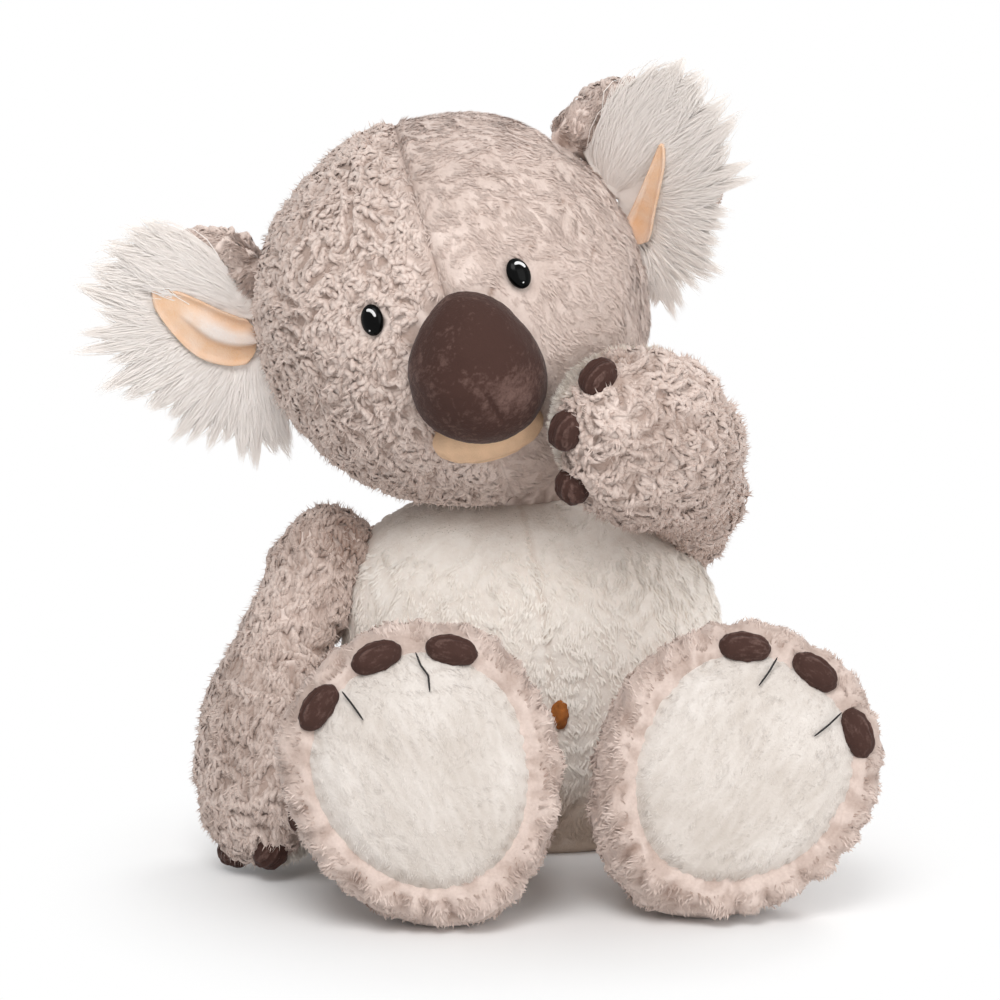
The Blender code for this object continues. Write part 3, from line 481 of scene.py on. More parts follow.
class Board:
    """One material's nodes."""

    def __init__(self, name):
        self.material = bpy.data.materials.new(name)
        self.material.use_nodes = True
        self.tree = self.material.node_tree
        self.shader = self.tree.nodes["Principled BSDF"]
        self.out = self.tree.nodes["Material Output"]

    def connect(self, socket, value):
        """Link a value to a socket, or set the socket."""
        if isinstance(value, Value):
            self.tree.links.new(value.socket, socket)
        else:
            socket.default_value = value

    def node(self, kind, settings, inputs, output=0):
        """A node with its settings made first, then its sockets, by place or by name."""
        node = self.tree.nodes.new(kind)
        for key, value in settings.items():
            setattr(node, key, value)
        pairs = inputs.items() if isinstance(inputs, dict) else enumerate(inputs)
        for key, value in pairs:
            self.connect(node.inputs[key], value)
        return Value(self, node.outputs[output])

    def attribute(self, name):
        """A number stored at each point of the mesh."""
        return self.node("ShaderNodeAttribute", {"attribute_name": name}, [], "Fac")

    def grain(self, scale, detail=2.0, distortion=0.0):
        """Noise over the object's coordinates, from 0 to 1."""
        place = self.node("ShaderNodeTexCoord", {}, [], "Object")
        sockets = {"Vector": place, "Scale": scale, "Detail": detail, "Distortion": distortion}
        return self.node("ShaderNodeTexNoise", {}, sockets)

    def mix(self, share, first, second):
        """A colour between two colours."""
        sockets = {0: share, 6: first, 7: second}
        return self.node("ShaderNodeMix", {"data_type": "RGBA", "clamp_factor": True}, sockets, 2)

    def finish(self, colour, roughness, height=None, strength=0.3, distance=0.0005, **sockets):
        """Feed the shader: colour, roughness and a bump, and constants on its other sockets."""
        self.connect(self.shader.inputs["Base Color"], colour)
        self.connect(self.shader.inputs["Roughness"], roughness)
        if height is not None:
            bump = self.node("ShaderNodeBump", {}, {"Strength": strength, "Distance": distance, "Height": height})
            self.connect(self.shader.inputs["Normal"], bump)
        for name, value in sockets.items():
            self.shader.inputs[name.replace("_", " ")].default_value = value
        return self.material


def rgba(values):
    """A colour property as four numbers."""
    return (*values, 1.0)


def cloth(name, dark, light, scale=900.0, strength=0.5, sheen=0.25, spread=0.35):
    """Plush or felt: the tone of the mesh and a fine grain carry the colour from deep to tip. On the plush the deep and
    tip colours are painted shade and painted light.
    """
    board = Board(name)
    fine = board.grain(scale, 3.0)
    broad = board.grain(45.0, 2.0)
    share = board.attribute("tone") * 1.0 + (fine - 0.5) * spread + (broad - 0.5) * 0.30
    tint = board.mix(share, rgba(dark), rgba(light))
    return board.finish(tint, 0.95, fine, strength, Sheen_Weight=sheen, Sheen_Roughness=0.5, Specular_IOR_Level=0.15)


def material_once(name, make, *args, **options):
    """The material of that name, made when it is first asked for."""
    return bpy.data.materials.get(name) or make(name, *args, **options)


def soft_hair(name, tint):
    """Long silky hair: nearly one tint, a little deeper at the roots as painted shade, with a strong soft sheen."""
    board = Board(name)
    share = board.attribute("tone") + (board.grain(500.0) - 0.5) * 0.2
    deep = [tint[0] * 0.80, tint[1] * 0.76, tint[2] * 0.73]
    tinted = board.mix(share, rgba(deep), rgba(tint))
    return board.finish(tinted, 0.8, Sheen_Weight=0.4, Sheen_Roughness=0.4, Specular_IOR_Level=0.2)


def velour(name, dark, light):
    """Dark velour: brushed patches, painted lighter as painted sheen, over a fine nap, with a soft sheen from the
    shader.
    """
    board = Board(name)
    brushed = board.grain(60.0, 3.0, 0.8)
    nap = board.grain(1400.0, 2.0)
    share = (brushed - 0.42) * 1.2 + (nap - 0.5) * 0.9 + (board.attribute("tone") - 0.5) * 1.2
    tint = board.mix(share, rgba(dark), rgba(light))
    return board.finish(tint, 0.8, nap, 0.6, 0.0004, Sheen_Weight=0.12, Sheen_Roughness=0.35, Specular_IOR_Level=0.15)


def gloss(name, tint):
    """Black polished plastic with faint wear in its roughness."""
    board = Board(name)
    return board.finish(rgba(tint), board.grain(400.0) * 0.1 + 0.12, Specular_IOR_Level=0.08)


def plain_thread(name, tint):
    """Twisted thread, ribbed by a fine grain."""
    board = Board(name)
    ply = board.grain(2500.0)
    return board.finish(board.mix(ply, rgba([c * 0.6 for c in tint]), rgba(tint)), 0.7, ply, 0.6)


def dress(piece, body, material, nodes=()):
    """Give a piece its material and its body, and hide the solids it stands for."""
    piece.data.materials.append(material)
    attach(piece, body)
    if nodes:
        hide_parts(*nodes)
    return piece


def settings():
    """The sizes and colours of the open scene."""
    return bpy.context.scene.koala_sizes, bpy.context.scene.koala_colours


def taupe():
    """The taupe plush."""
    tints = settings()[1]
    return material_once("taupe_plush_cloth", cloth, tints.taupe_shaded, tints.taupe_lit)


def white():
    """The white plush."""
    tints = settings()[1]
    return material_once("white_plush_cloth", cloth, tints.white_shaded, tints.white_lit, spread=0.2)


def claw_cloth():
    """The dark velour of the claws and the nose."""
    tints = settings()[1]
    return material_once("brown_velour_cloth", velour, tints.nose, tints.nose_sheen)


# Head


def head_surface(sizes, tilt, turn, sign):
    """Half of the head: an ellipsoid around the ear axis, from the ear at tilt 0 to the seam at a quarter turn."""
    ring = np.sin(tilt)
    across = sign * sizes.head_width * np.cos(tilt)
    ahead = -sizes.head_depth * ring * np.cos(turn)
    up = sizes.head_height * ring * np.sin(turn)
    return np.stack(np.broadcast_arrays(across, ahead, up), -1)


def head_relief(local):
    """Height of the head's skin over its form: curls, a seam groove and soft hollows at the eyes."""
    sizes = settings()[0]
    flat = local.reshape(-1, 3)
    curly = ease((0.012 - flat[:, 0]) / 0.03)
    world = placed(flat, HEAD)
    # The tone follows the curls' height, which paints shade into their valleys; the brushed half is painted darker in
    # its dents as shade.
    tone = curls(world, 0.0074, 31)
    calm = 0.68 + 0.20 * noise(flat, 0.011, 41) + 0.12 * noise(flat, 0.003, 43) - 0.5 * shaded_partings(world)
    tone = tone * curly + np.clip(calm, 0, 1) * (1 - curly)
    height = (tone - 0.6) * sizes.curl_height * (0.35 + 0.65 * curly)
    height += noise(flat, 0.045, 47) * 0.0022 + noise(flat, 0.018, 49) * 0.0009
    seam = np.exp(-((flat[:, 0] / 0.0016) ** 2)) * (flat[:, 2] > -0.03)
    height -= 0.0011 * seam
    for eye in EYES.values():
        height -= 0.0016 * np.exp(-((np.linalg.norm(world - eye, axis=1) / 0.0085) ** 2))
    return height.reshape(local.shape[:2]), np.clip(tone * (1 - 0.5 * seam), 0, 1).reshape(local.shape[:2])


def shaded_partings(points):
    """Short dents that the brushed pile leaves open here and there, drawn out along the way it is brushed. The head is
    painted darker in them, as shade in the dents.
    """
    way = unit(np.array((-0.35, 0.0, -0.94)))
    along = points @ way
    squeezed = points - way * (along * 0.72)[:, None]
    fine = ease((noise(warp(squeezed, 0.01, 0.002, 45), 0.0036, 47) - 0.36) / 0.25)
    return fine * ease((noise(points, 0.02, 49) + 0.35) / 0.4)


def clear_of_face(roots):
    """Which roots lie off the nose, the lip and the eyes."""
    nose = along_axes(roots, NOSE)
    lip = along_axes(roots, LIP)
    clear = (nose[:, 0] / 0.0245) ** 2 + (nose[:, 2] / 0.0275) ** 2 > 1
    clear &= (lip[:, 0] / 0.0190) ** 2 + (lip[:, 2] / 0.0108) ** 2 > 1
    clear |= nose[:, 1] > 0.03
    for eye in EYES.values():
        clear &= np.linalg.norm(roots - np.array(eye), axis=1) > 0.0072
    return clear


def curly_look(seed, size=1.0, **changes):
    """Values of curly taupe pile."""
    sizes = settings()[0]
    look = {
        "seed": seed, "length": sizes.pile_length * size, "width": 0.0007, "sink": 0.0005, "lean": (1.36, 1.57),
        "swirl": 0.3, "swirl_size": 0.01, "stray": 0.10, "rope": 0.0074, "rope_seed": 31, "follow": 0.12,
        "backward": 0.8, "pull": 0.75, "curl": 0.22, "loft": 0.0023, "round": 1.8, "tone": (0.78, 1.0),
        "vary": 0.05, "rim": 0.50,
    }
    look.update(changes)
    return look


def fuzz_look(seed, **changes):
    """Values of the short loose hairs that stand between the locks."""
    look = {
        "width": 0.0004, "lean": (0.9, 1.35), "swirl": 0.8, "stray": 0.5, "pull": 0.3, "tone": (0.62, 0.92), "rim": 0.2,
    }
    look.update(changes)
    return curly_look(seed, 0.55, **look)


def nap_look(seed, size=1.0, **changes):
    """Values of brushed pile, which lies flat and lets its ropes show only faintly."""
    look = {
        "swirl": 0.7, "swirl_size": 0.02, "stray": 0.16, "curl": 0.25, "lean": (1.3, 1.53), "rope": 0.011,
        "follow": 1.6, "backward": 0.2, "pull": 0.35, "loft": 0.0005, "round": 1.2, "tone": (0.60, 0.80),
        "vary": 0.06, "rim": 0.10,
    }
    look.update(changes)
    return curly_look(seed, size, **look)


def lock_look(seed, size=1.0, **changes):
    """Values of curly taupe locks."""
    sizes = settings()[0]
    look = {
        "seed": seed, "length": sizes.pile_length * size, "width": 0.0017, "sink": 0.0006, "stray": 0.35,
        "rope": 0.0074, "rope_seed": 31, "follow": 0.15, "backward": 0.8, "pull": 0.35, "bend": 0.8,
        "loft": 0.0014, "round": 8.0, "tone": (0.34, 0.93), "vary": 0.06, "rim": 0.20,
    }
    look.update(changes)
    return look


def make_head():
    """Both halves of the head with their pile."""
    sizes = settings()[0]
    tilt = np.linspace(0.02, np.pi / 2, 110)[:, None]
    turn = np.linspace(0, 2 * np.pi, 330, endpoint=False)[None]
    for side, sign, nodes in (("left", 1, ["head_panel_left"]), ("right", -1, ["head_panel_right", "head_stuffing"])):
        local = head_surface(sizes, tilt, turn, sign)
        height, tone = head_relief(local)
        local = local + grid_normals(local) * height[..., None]
        grid = placed(local, HEAD)
        skin = grid_piece("head_plush_" + side, grid, tone)
        dress(skin, "head", taupe(), nodes)
        roots, normals = scatter(grid, grid_normals(grid), 36000, 50 + sign)
        keep = clear_of_face(roots)
        roots, normals = roots[keep], normals[keep]
        spot = along_axes(roots, HEAD)
        curly = ease((0.012 - spot[:, 0]) / 0.03)
        down = np.broadcast_to(np.array((sign * 0.5, -0.2, -0.9)), roots.shape)
        flow = placed(down, ((0, 0, 0),) + HEAD[1:])
        wild = roots[curly > 0.5], normals[curly > 0.5], flow[curly > 0.5]
        calm = roots[curly <= 0.5], normals[curly <= 0.5], flow[curly <= 0.5]
        if len(wild[0]) > 100:
            # Tone raised under the lip: the tufts there are paler, and painted light lifts them out of the shade there.
            chin = np.exp(-(((wild[0] - np.array(CHIN_TUFTS_LIT)) / np.array((0.016, 0.03, 0.008))) ** 2).sum(1))
            fuzz = [part[::5] for part in wild]
            hair = pile("head_fuzz_" + side, *fuzz, fuzz_look(61, shadow=0.45 * chin[::5]))
            dress(hair, "head", taupe())
            wild = [part[::3] for part in wild]
            hair = curl_locks("head_curls_" + side, *wild, lock_look(62, shadow=0.45 * chin[::3]))
            dress(hair, "head", taupe())
        if len(calm[0]) > 100:
            hair = pile("head_nap_" + side, *calm, nap_look(67, 0.75, tone=(0.58, 0.76), shadow=-0.35 * shaded_partings(calm[0])))
            dress(hair, "head", taupe())


def ball(place, half_sizes, rows=60, columns=80):
    """An ellipsoid's grid from pole to pole, along a place's axes."""
    tilt = np.linspace(0.03, np.pi - 0.03, rows)[:, None]
    turn = np.linspace(0, 2 * np.pi, columns, endpoint=False)[None]
    shape = np.stack(np.broadcast_arrays(np.sin(tilt) * np.cos(turn), np.sin(tilt) * np.sin(turn), np.cos(tilt)), -1)
    return placed(shape * np.array(half_sizes), place), shape


def make_nose():
    """The nose: an egg that is broader below, with a stitched dart, and the felt lip under it."""
    sizes, tints = settings()
    half_sizes = (sizes.nose_width, 0.024, sizes.nose_height)
    grid, shape = ball(NOSE, half_sizes, 110, 150)
    local = along_axes(grid, NOSE)
    local[..., 2] -= 0.0018
    local[..., 0] *= 1 - 0.16 * shape[..., 2] - 0.06 * shape[..., 2] ** 2
    local[..., 0] -= 0.0015 * shape[..., 2]
    flat = local.reshape(-1, 3)
    along = np.array((0.35, -0.94))
    start = np.array((0.002, -0.004))
    way = flat[:, (0, 2)] - start
    run = np.clip(way @ along, 0, 0.012)
    near = np.linalg.norm(way - run[:, None] * along, axis=1)
    dart = np.exp(-((near / 0.0006) ** 2)) * (flat[:, 1] < 0)
    height = noise(flat, 0.011, 3) * 0.0006 + noise(flat, 0.002, 5) * 0.00012 - 0.0008 * dart
    # Painted highlight: a lighter patch low on the nose's left; painted shade: a deeper patch near its top.
    brushed = np.exp(-(((flat[:, 0] - 0.010) / 0.012) ** 2) - ((flat[:, 2] + 0.006) / 0.009) ** 2)
    dark = np.exp(-(((flat[:, 0] - 0.002) / 0.012) ** 2) - ((flat[:, 2] - 0.013) / 0.008) ** 2)
    rough = np.abs(noise(warp(flat, 0.004, 0.002, 21), 0.0022, 23))
    tone = 0.40 + 0.22 * noise(flat, 0.018, 9) + 0.45 * brushed - 0.30 * dark - 0.9 * dart + 0.8 * (rough - 0.25)
    tone = np.clip(tone, 0, 1)
    local = local + grid_normals(local) * height.reshape(local.shape[:2])[..., None]
    nose = grid_piece("nose_velour", placed(local, NOSE), tone.reshape(local.shape[:2]))
    dress(nose, "head", claw_cloth(), ["nose_cover", "nose_stuffing"])
    grid, shape = ball(LIP, (0.0205, 0.0100, 0.0106), 70, 100)
    flat = grid.reshape(-1, 3)
    # Along the lip's lower edge runs a groove, and the tone is painted darker there as shade under the lip.
    hem_groove_and_shade = np.exp(-(((shape[..., 2] + 0.80) / 0.05) ** 2))
    tone = np.clip(0.70 + 0.3 * noise(flat, 0.004, 13).reshape(hem_groove_and_shade.shape) - 0.6 * hem_groove_and_shade, 0, 1)
    ripple = noise(flat, 0.003, 15).reshape(hem_groove_and_shade.shape) * 0.0002 - 0.0005 * hem_groove_and_shade
    grid = grid + grid_normals(grid) * ripple[..., None]
    lip = grid_piece("lip_felt", grid, tone)
    deep = [share * 0.72 for share in tints.peach]
    felt = material_once("peach_felt_cloth", cloth, deep, tints.peach, scale=1600.0, sheen=0.1)
    dress(lip, "head", felt, ["lower_lip"])


def make_eyes():
    """Shiny domes with a white arc and dot on each, which are painted highlights made as thread."""
    tints = settings()[1]
    black = material_once("black_gloss", gloss, tints.eye)
    glint = material_once("white_glint", plain_thread, (0.95, 0.95, 0.95))
    for side, centre in EYES.items():
        out = unit(np.array(centre) - np.array(HEAD[0]))
        up = unit(np.array(HEAD[3]) - out * np.dot(HEAD[3], out))
        across = np.cross(up, out)
        place = (tuple(np.array(centre) + out * 0.0004), tuple(across), tuple(up), tuple(out))
        grid, _ = ball(place, (0.0043, 0.0057, 0.0026), 40, 60)
        dress(grid_piece("eye_dome_" + side, grid), "head", black, ["eye_" + side])
        # Painted highlights: a white arc near the top and a dot near the bottom, laid on each dome as thread.
        sweep = np.linspace(np.radians(15), np.radians(105), 24)
        arc = np.stack([0.0025 * np.cos(sweep), 0.0036 * np.sin(sweep)], 1)
        marks = [("arc", arc, 0.0006), ("dot", np.array(((-0.0010, -0.0037), (-0.0004, -0.0035))), 0.0006)]
        for name, path, radius in marks:
            rise = 0.0026 * np.sqrt(np.clip(1 - (path[:, 0] / 0.0043) ** 2 - (path[:, 1] / 0.0057) ** 2, 0, 1))
            line = placed(np.column_stack([path, rise]), place)
            mark = thread_piece("eye_%s_%s" % (name, side), line, radius, 0.0003, out)
            dress(mark, "head", glint)


def thread_piece(name, line, radius, thickness, out):
    """A rounded thread along a line of points, flattened on the way out, with tapered ends."""
    toward = unit(np.gradient(line, axis=0))
    rise = unit(np.broadcast_to(out, line.shape) - toward * (toward * out).sum(1, keepdims=True))
    side = np.cross(toward, rise)
    turn = np.linspace(0, 2 * np.pi, 10, endpoint=False)
    ends = np.sqrt(np.clip(1 - np.linspace(-0.97, 0.97, len(line)) ** 6, 0.05, 1))[:, None, None]
    turn = turn[None, :, None]
    ring = side[:, None] * np.cos(turn) * radius + rise[:, None] * np.sin(turn) * thickness
    return grid_piece(name, line[:, None] + ring * ends)


# Ears


# In the plane of each ear, in millimetres and degrees around its root: the last angle of the pelt, the reach of the
# dense hair and of its tips, the lining's middle line with its half widths, the edge where the hair begins, the shaded
# gap by the head, and the folded corner as its spot and its half sizes
EAR_SHAPES = {
    "right": {
        "root": (-6.0, -4.0),
        "top": 80,
        "shift": -0.006,
        "dense": (
            (-100, 44), (-88, 46), (-70, 39), (-45, 39), (-21, 44), (-1, 51), (15, 56), (31, 59), (47, 58), (61, 44),
            (80, 34),
        ),
        "tips": (
            (-100, 50), (-91, 60), (-76, 53), (-60, 52), (-40, 53), (-21, 58), (-9, 65), (6, 66), (17, 70), (28, 77),
            (40, 74), (50, 67), (62, 52), (80, 36),
        ),
        "lining": ((32, 15, 0.8), (27, 9, 4.5), (20, 2, 7.0), (12, -5, 8.5), (4, -9, 8.0), (-5, -10, 7.0)),
        "sweep": ((18, 35), (5, 20), (-4, 3)),
        "gap": (-6, 29),
        "fold": (1.0, 24.0, 14.0, 14.0),
        "lap": 0.006,
    },
    "left": {
        "root": (-8.0, 6.0),
        "top": 94,
        "shift": 0.012,
        "dense": (
            (-100, 36), (-86, 38), (-59, 30), (-22, 37), (1, 46), (17, 52), (28, 63), (40, 70), (52, 64), (60, 52),
            (85, 40),
        ),
        "tips": (
            (-100, 44), (-85, 50), (-68, 45), (-39, 46), (-14, 44), (-5, 54), (1, 59), (15, 66), (21, 76), (28, 81),
            (40, 82), (56, 70), (68, 56), (85, 42),
        ),
        "lining": ((24, 26, 0.6), (19, 19, 1.8), (13, 12, 2.6), (6, 4, 3.4), (0, -3, 4.4), (-5, -9, 4.4)),
        "sweep": ((16, 52), (-1, 34), (-17, 25)),
        "gap": (-14, 30),
        "fold": (-4.0, 40.0, 17.0, 17.0),
        "lap": 0.015,
    },
}


def outside_head(points, gap):
    """Which points lie clear of the head's form by a gap."""
    sizes = settings()[0]
    half_sizes = np.array((sizes.head_width, sizes.head_depth, sizes.head_height)) + gap
    return ((along_axes(points, HEAD) / half_sizes) ** 2).sum(1) > 1


def ear_spot(place, across, up, ahead):
    """Points of an ear: outward from its hinge, up along it, and ahead of its leaf."""
    return placed(np.stack(np.broadcast_arrays(across, ahead, up), -1), place)


def hair_reach(shape, angle, edge):
    """How far from the ear's root the hair's dense edge or its tips lie at an angle."""
    angles, reaches = np.array(shape[edge]).T
    return np.interp(np.degrees(angle), angles, reaches) / 1000


def beside_lining(shape, spot):
    """Distance of points from the lining's edge, positive outside it."""
    points = np.array(shape["lining"]) / 1000
    run = np.linspace(0, len(points) - 1, 40)
    line = np.stack([np.interp(run, np.arange(len(points)), column) for column in points.T], 1)
    away = np.linalg.norm(spot[:, None] - line[None, :, :2], axis=2) - line[None, :, 2]
    return away.min(1)


def make_ear(side):
    """One ear: curly back with a folded corner, white pelt, felt lining and long hair that fans out from the root."""
    tints = settings()[1]
    place = EARS[side]
    shape = EAR_SHAPES[side]
    body = "ear_" + side
    root = np.array(shape["root"]) / 1000
    turn = np.linspace(0, 2 * np.pi, 140, endpoint=False)[None]
    tilt = np.linspace(0.03, np.pi - 0.03, 88)[:, None]
    across = 0.0125 + 0.0225 * np.sin(tilt) * np.cos(turn)
    up = shape["shift"] + 0.006 + 0.032 * np.sin(tilt) * np.sin(turn)
    fold = np.array(shape["fold"]) / 1000
    corner = np.exp(-(((across - fold[0]) / fold[2]) ** 2) - ((up - fold[1]) / fold[3]) ** 2)
    front = ease((np.cos(tilt) + 0.1) / 0.5)
    sweep = np.array(shape["sweep"]) / 1000
    covered = ease(edge_side(np.stack(np.broadcast_arrays(across, up), -1), sweep) / 0.004) * front
    ahead = -0.003 + 0.0075 * np.cos(tilt) + 0.0085 * corner * front - 0.0035 * covered
    across = across - shape["lap"] * corner
    grid = ear_spot(place, across, up, ahead)
    flat = grid.reshape(-1, 3)
    relief = curls(flat, 0.0074, 31).reshape(grid.shape[:2])
    normals = grid_normals(grid)
    grid = grid + normals * ((relief - 0.6) * 0.0014 * (1 - covered))[..., None]
    back = grid_piece("ear_back_plush_" + side, grid, relief)
    dress(back, body, taupe(), ["ear_back_" + side])
    roots, ways = scatter(grid, normals, 12000, 73)
    spot = along_axes(roots, place)
    covered = (spot[:, 1] > 0) & (edge_side(spot[:, (0, 2)], sweep) > 0.001)
    bare = ~covered & outside_head(roots, 0.0015)
    roots, ways, spot = roots[bare], ways[bare], spot[bare]
    flow = np.broadcast_to(np.array(place[1]), roots.shape)
    gap = np.array(shape["gap"]) / 1000
    shadow = 0.08 - 0.7 * np.exp(-(((spot[:, (0, 2)] - gap) / 0.007) ** 2).sum(1))
    front = spot[:, 1] > 0
    look = nap_look(75, 0.8, loft=0.001, follow=0.8, rope=0.007, shadow=shadow[front])
    hair = pile("ear_corner_nap_" + side, roots[front], ways[front], flow[front], look)
    dress(hair, body, taupe())
    behind = [part[~front][::2] for part in (roots, ways, flow)]
    dress(curl_locks("ear_back_curls_" + side, *behind, lock_look(76)), body, taupe())
    long_white = material_once("long_white_hair", soft_hair, tints.ear_hair)
    ray = np.linspace(0.04, 1, 44)[:, None]
    angle = np.radians(np.linspace(-100, shape["top"], 100))[None]
    reach = hair_reach(shape, angle, "dense") * 0.88
    across = root[0] + reach * ray * np.cos(angle)
    up = root[1] + reach * ray * np.sin(angle)
    spot = np.stack([across, up], -1).reshape(-1, 2)
    cup = pelt_height(shape, spot, sweep).reshape(across.shape)
    grid = ear_spot(place, across, up, cup)
    ahead = np.array(place[2])
    flat = grid.reshape(-1, 3)
    grid = grid + ahead * (noise(flat, 0.008, 81) * 0.0006).reshape(grid.shape[:2])[..., None]
    pelt_tone = np.clip(0.85 + 0.15 * noise(flat, 0.004, 83), 0, 1).reshape(grid.shape[:2])
    pelt = grid_piece("ear_pelt_" + side, grid, pelt_tone, False, (False, False), ahead)
    solid = pelt.modifiers.new("thickness", "SOLIDIFY")
    solid.thickness = 0.002
    solid.offset = -1
    dress(pelt, body, long_white, ["ear_front_" + side])
    hair = ear_fan("ear_hair_" + side, place, shape, root, sweep)
    dress(hair, body, long_white)
    make_lining(side, place, body, shape, tints)


def pelt_height(shape, spot, sweep):
    """How far ahead of the leaf the white pelt lies: a shallow cup that dives under the taupe corner."""
    from_root = spot - np.array(shape["root"]) / 1000
    share = np.linalg.norm(from_root, axis=1) / hair_reach(shape, np.arctan2(from_root[:, 1], from_root[:, 0]), "dense")
    height = 0.0035 + 0.0030 * np.sin(np.pi * np.clip(share, 0, 1)) - 0.0045 * ease(-edge_side(spot, sweep) / 0.006)
    return height - 0.0012 * ease(0.5 - beside_lining(shape, spot) / 0.002)


def ear_fan(name, place, shape, root, sweep):
    """Long hair of an ear: it springs from all over the pelt and sweeps outward to the hair's edge.

    Each hair's heading turns with its angle around the root. Where it ends, it is drawn to the middle of its
    tuft. Most hairs end about the dense edge, and the others run on to the tips of the tufts.
    """
    rng = np.random.default_rng(87)
    count = 25000
    angle = np.radians(rng.uniform(-99, shape["top"] - 1, count))
    share = np.sqrt(rng.uniform(0.004, 0.80, count))
    start = root + (hair_reach(shape, angle, "dense") * share)[:, None] * np.stack([np.cos(angle), np.sin(angle)], 1)
    keep = (beside_lining(shape, start) > 0) & (edge_side(start, sweep) > -0.0005)
    keep &= outside_head(ear_spot(place, start[:, 0], start[:, 1], 0.004), -0.005)
    angle, share, start = angle[keep], share[keep], start[keep]
    count = len(start)
    long_one = rng.random(count) < 0.40
    sway = noise(np.column_stack([start, 0 * share]), 0.014, 89) * 0.35 + rng.normal(0, 0.09, count)
    heading = np.where(angle > 0, angle * 0.72, angle) + sway
    way = np.stack([np.cos(heading), np.sin(heading)], 1)
    run = np.linspace(0, 0.085, 60)
    path = start[:, None] + way[:, None] * run[None, :, None] - root
    bearing = np.arctan2(path[..., 1], path[..., 0])
    edge = hair_reach(shape, bearing, "dense") * rng.uniform(0.70, 1.03, (count, 1))
    tips = hair_reach(shape, bearing, "tips") * rng.uniform(0.76, 1.04, (count, 1))
    inside = np.linalg.norm(path, axis=2) < np.where(long_one[:, None], tips, edge)
    reach = np.clip(run[np.maximum(inside.sum(1) - 1, 0)], 0.008, 0.030 + 0.014 * rng.random(count))
    clear = np.ones(count, bool)
    for share_run in (0.35, 0.6, 0.85, 1.0):
        spot = start + way * (reach * share_run)[:, None]
        clear &= (beside_lining(shape, spot) > -0.0007) & (edge_side(spot, sweep) > -0.0015)
    clear |= rng.random(count) < 0.006
    angle, share, start, way, reach, long_one = (part[clear] for part in (angle, share, start, way, reach, long_one))
    count = len(start)
    end = start + way * reach[:, None] - root
    bearing = np.arctan2(end[:, 1], end[:, 0])
    tuft = np.floor(np.degrees(bearing) / 7.5 + 0.5 * np.sin(np.degrees(bearing) / 11))
    spread = np.random.default_rng(91).random((2, 64))
    middle = np.radians((tuft + 0.5 + 0.5 * (spread[0][tuft.astype(int) % 64] - 0.5)) * 7.5)
    pull = np.where(long_one, 0.5 + 0.4 * rng.random(count), 0.3)
    bearing = bearing + (middle - bearing) * pull
    far = np.linalg.norm(end, axis=1) * np.where(long_one, 0.84 + 0.24 * spread[1][tuft.astype(int) % 64], 0.97)
    end = root + far[:, None] * np.stack([np.cos(bearing), np.sin(bearing)], 1)
    base = pelt_height(shape, start, sweep) - 0.0004
    lift = 0.0014 + 0.0014 * rng.random(count) + 0.0012 * (1 - share)
    tip_height = base + 0.0008 + rng.normal(0, 0.0011, count) + 0.0012 * (1 - share)
    roots = ear_spot(place, start[:, 0], start[:, 1], base)
    aside = np.stack([-way[:, 1], way[:, 0]], 1) * (reach * rng.normal(0, 0.09, count))[:, None]
    bends = start + way * (reach * 0.5)[:, None] + aside
    bends = ear_spot(place, bends[:, 0], bends[:, 1], base + lift)
    tips = ear_spot(place, end[:, 0], end[:, 1], tip_height)
    steps = np.linspace(0, 1, 5)[None, :, None]
    curve = roots[:, None] * (1 - steps) ** 2 + bends[:, None] * 2 * steps * (1 - steps) + tips[:, None] * steps**2
    beside = unit(np.cross(tips - roots, np.array(place[2]) + rng.normal(0, 0.12, (count, 3))))
    width = (0.00032 + 0.00022 * rng.random(count))[:, None, None] * (1 - steps) ** 0.55 * (0.9 + 0.3 * steps)
    tone = 0.84 + 0.16 * steps[..., 0] + 0.10 * (rng.random((count, 1)) - 0.5)
    return strips(name, curve, beside[:, None] * width / 2, tone)


def edge_side(spot, sweep):
    """Distance of points below the bowed edge where the folded back ends and the white hair begins."""
    along = unit(sweep[0] - sweep[-1])
    below = np.array((along[1], -along[0]))
    share = np.clip((spot - sweep[-1]) @ along / np.linalg.norm(sweep[0] - sweep[-1]), 0, 1)
    return (spot - sweep[-1]) @ below - (sweep[1] - sweep[-1]) @ below * 4 * share * (1 - share)


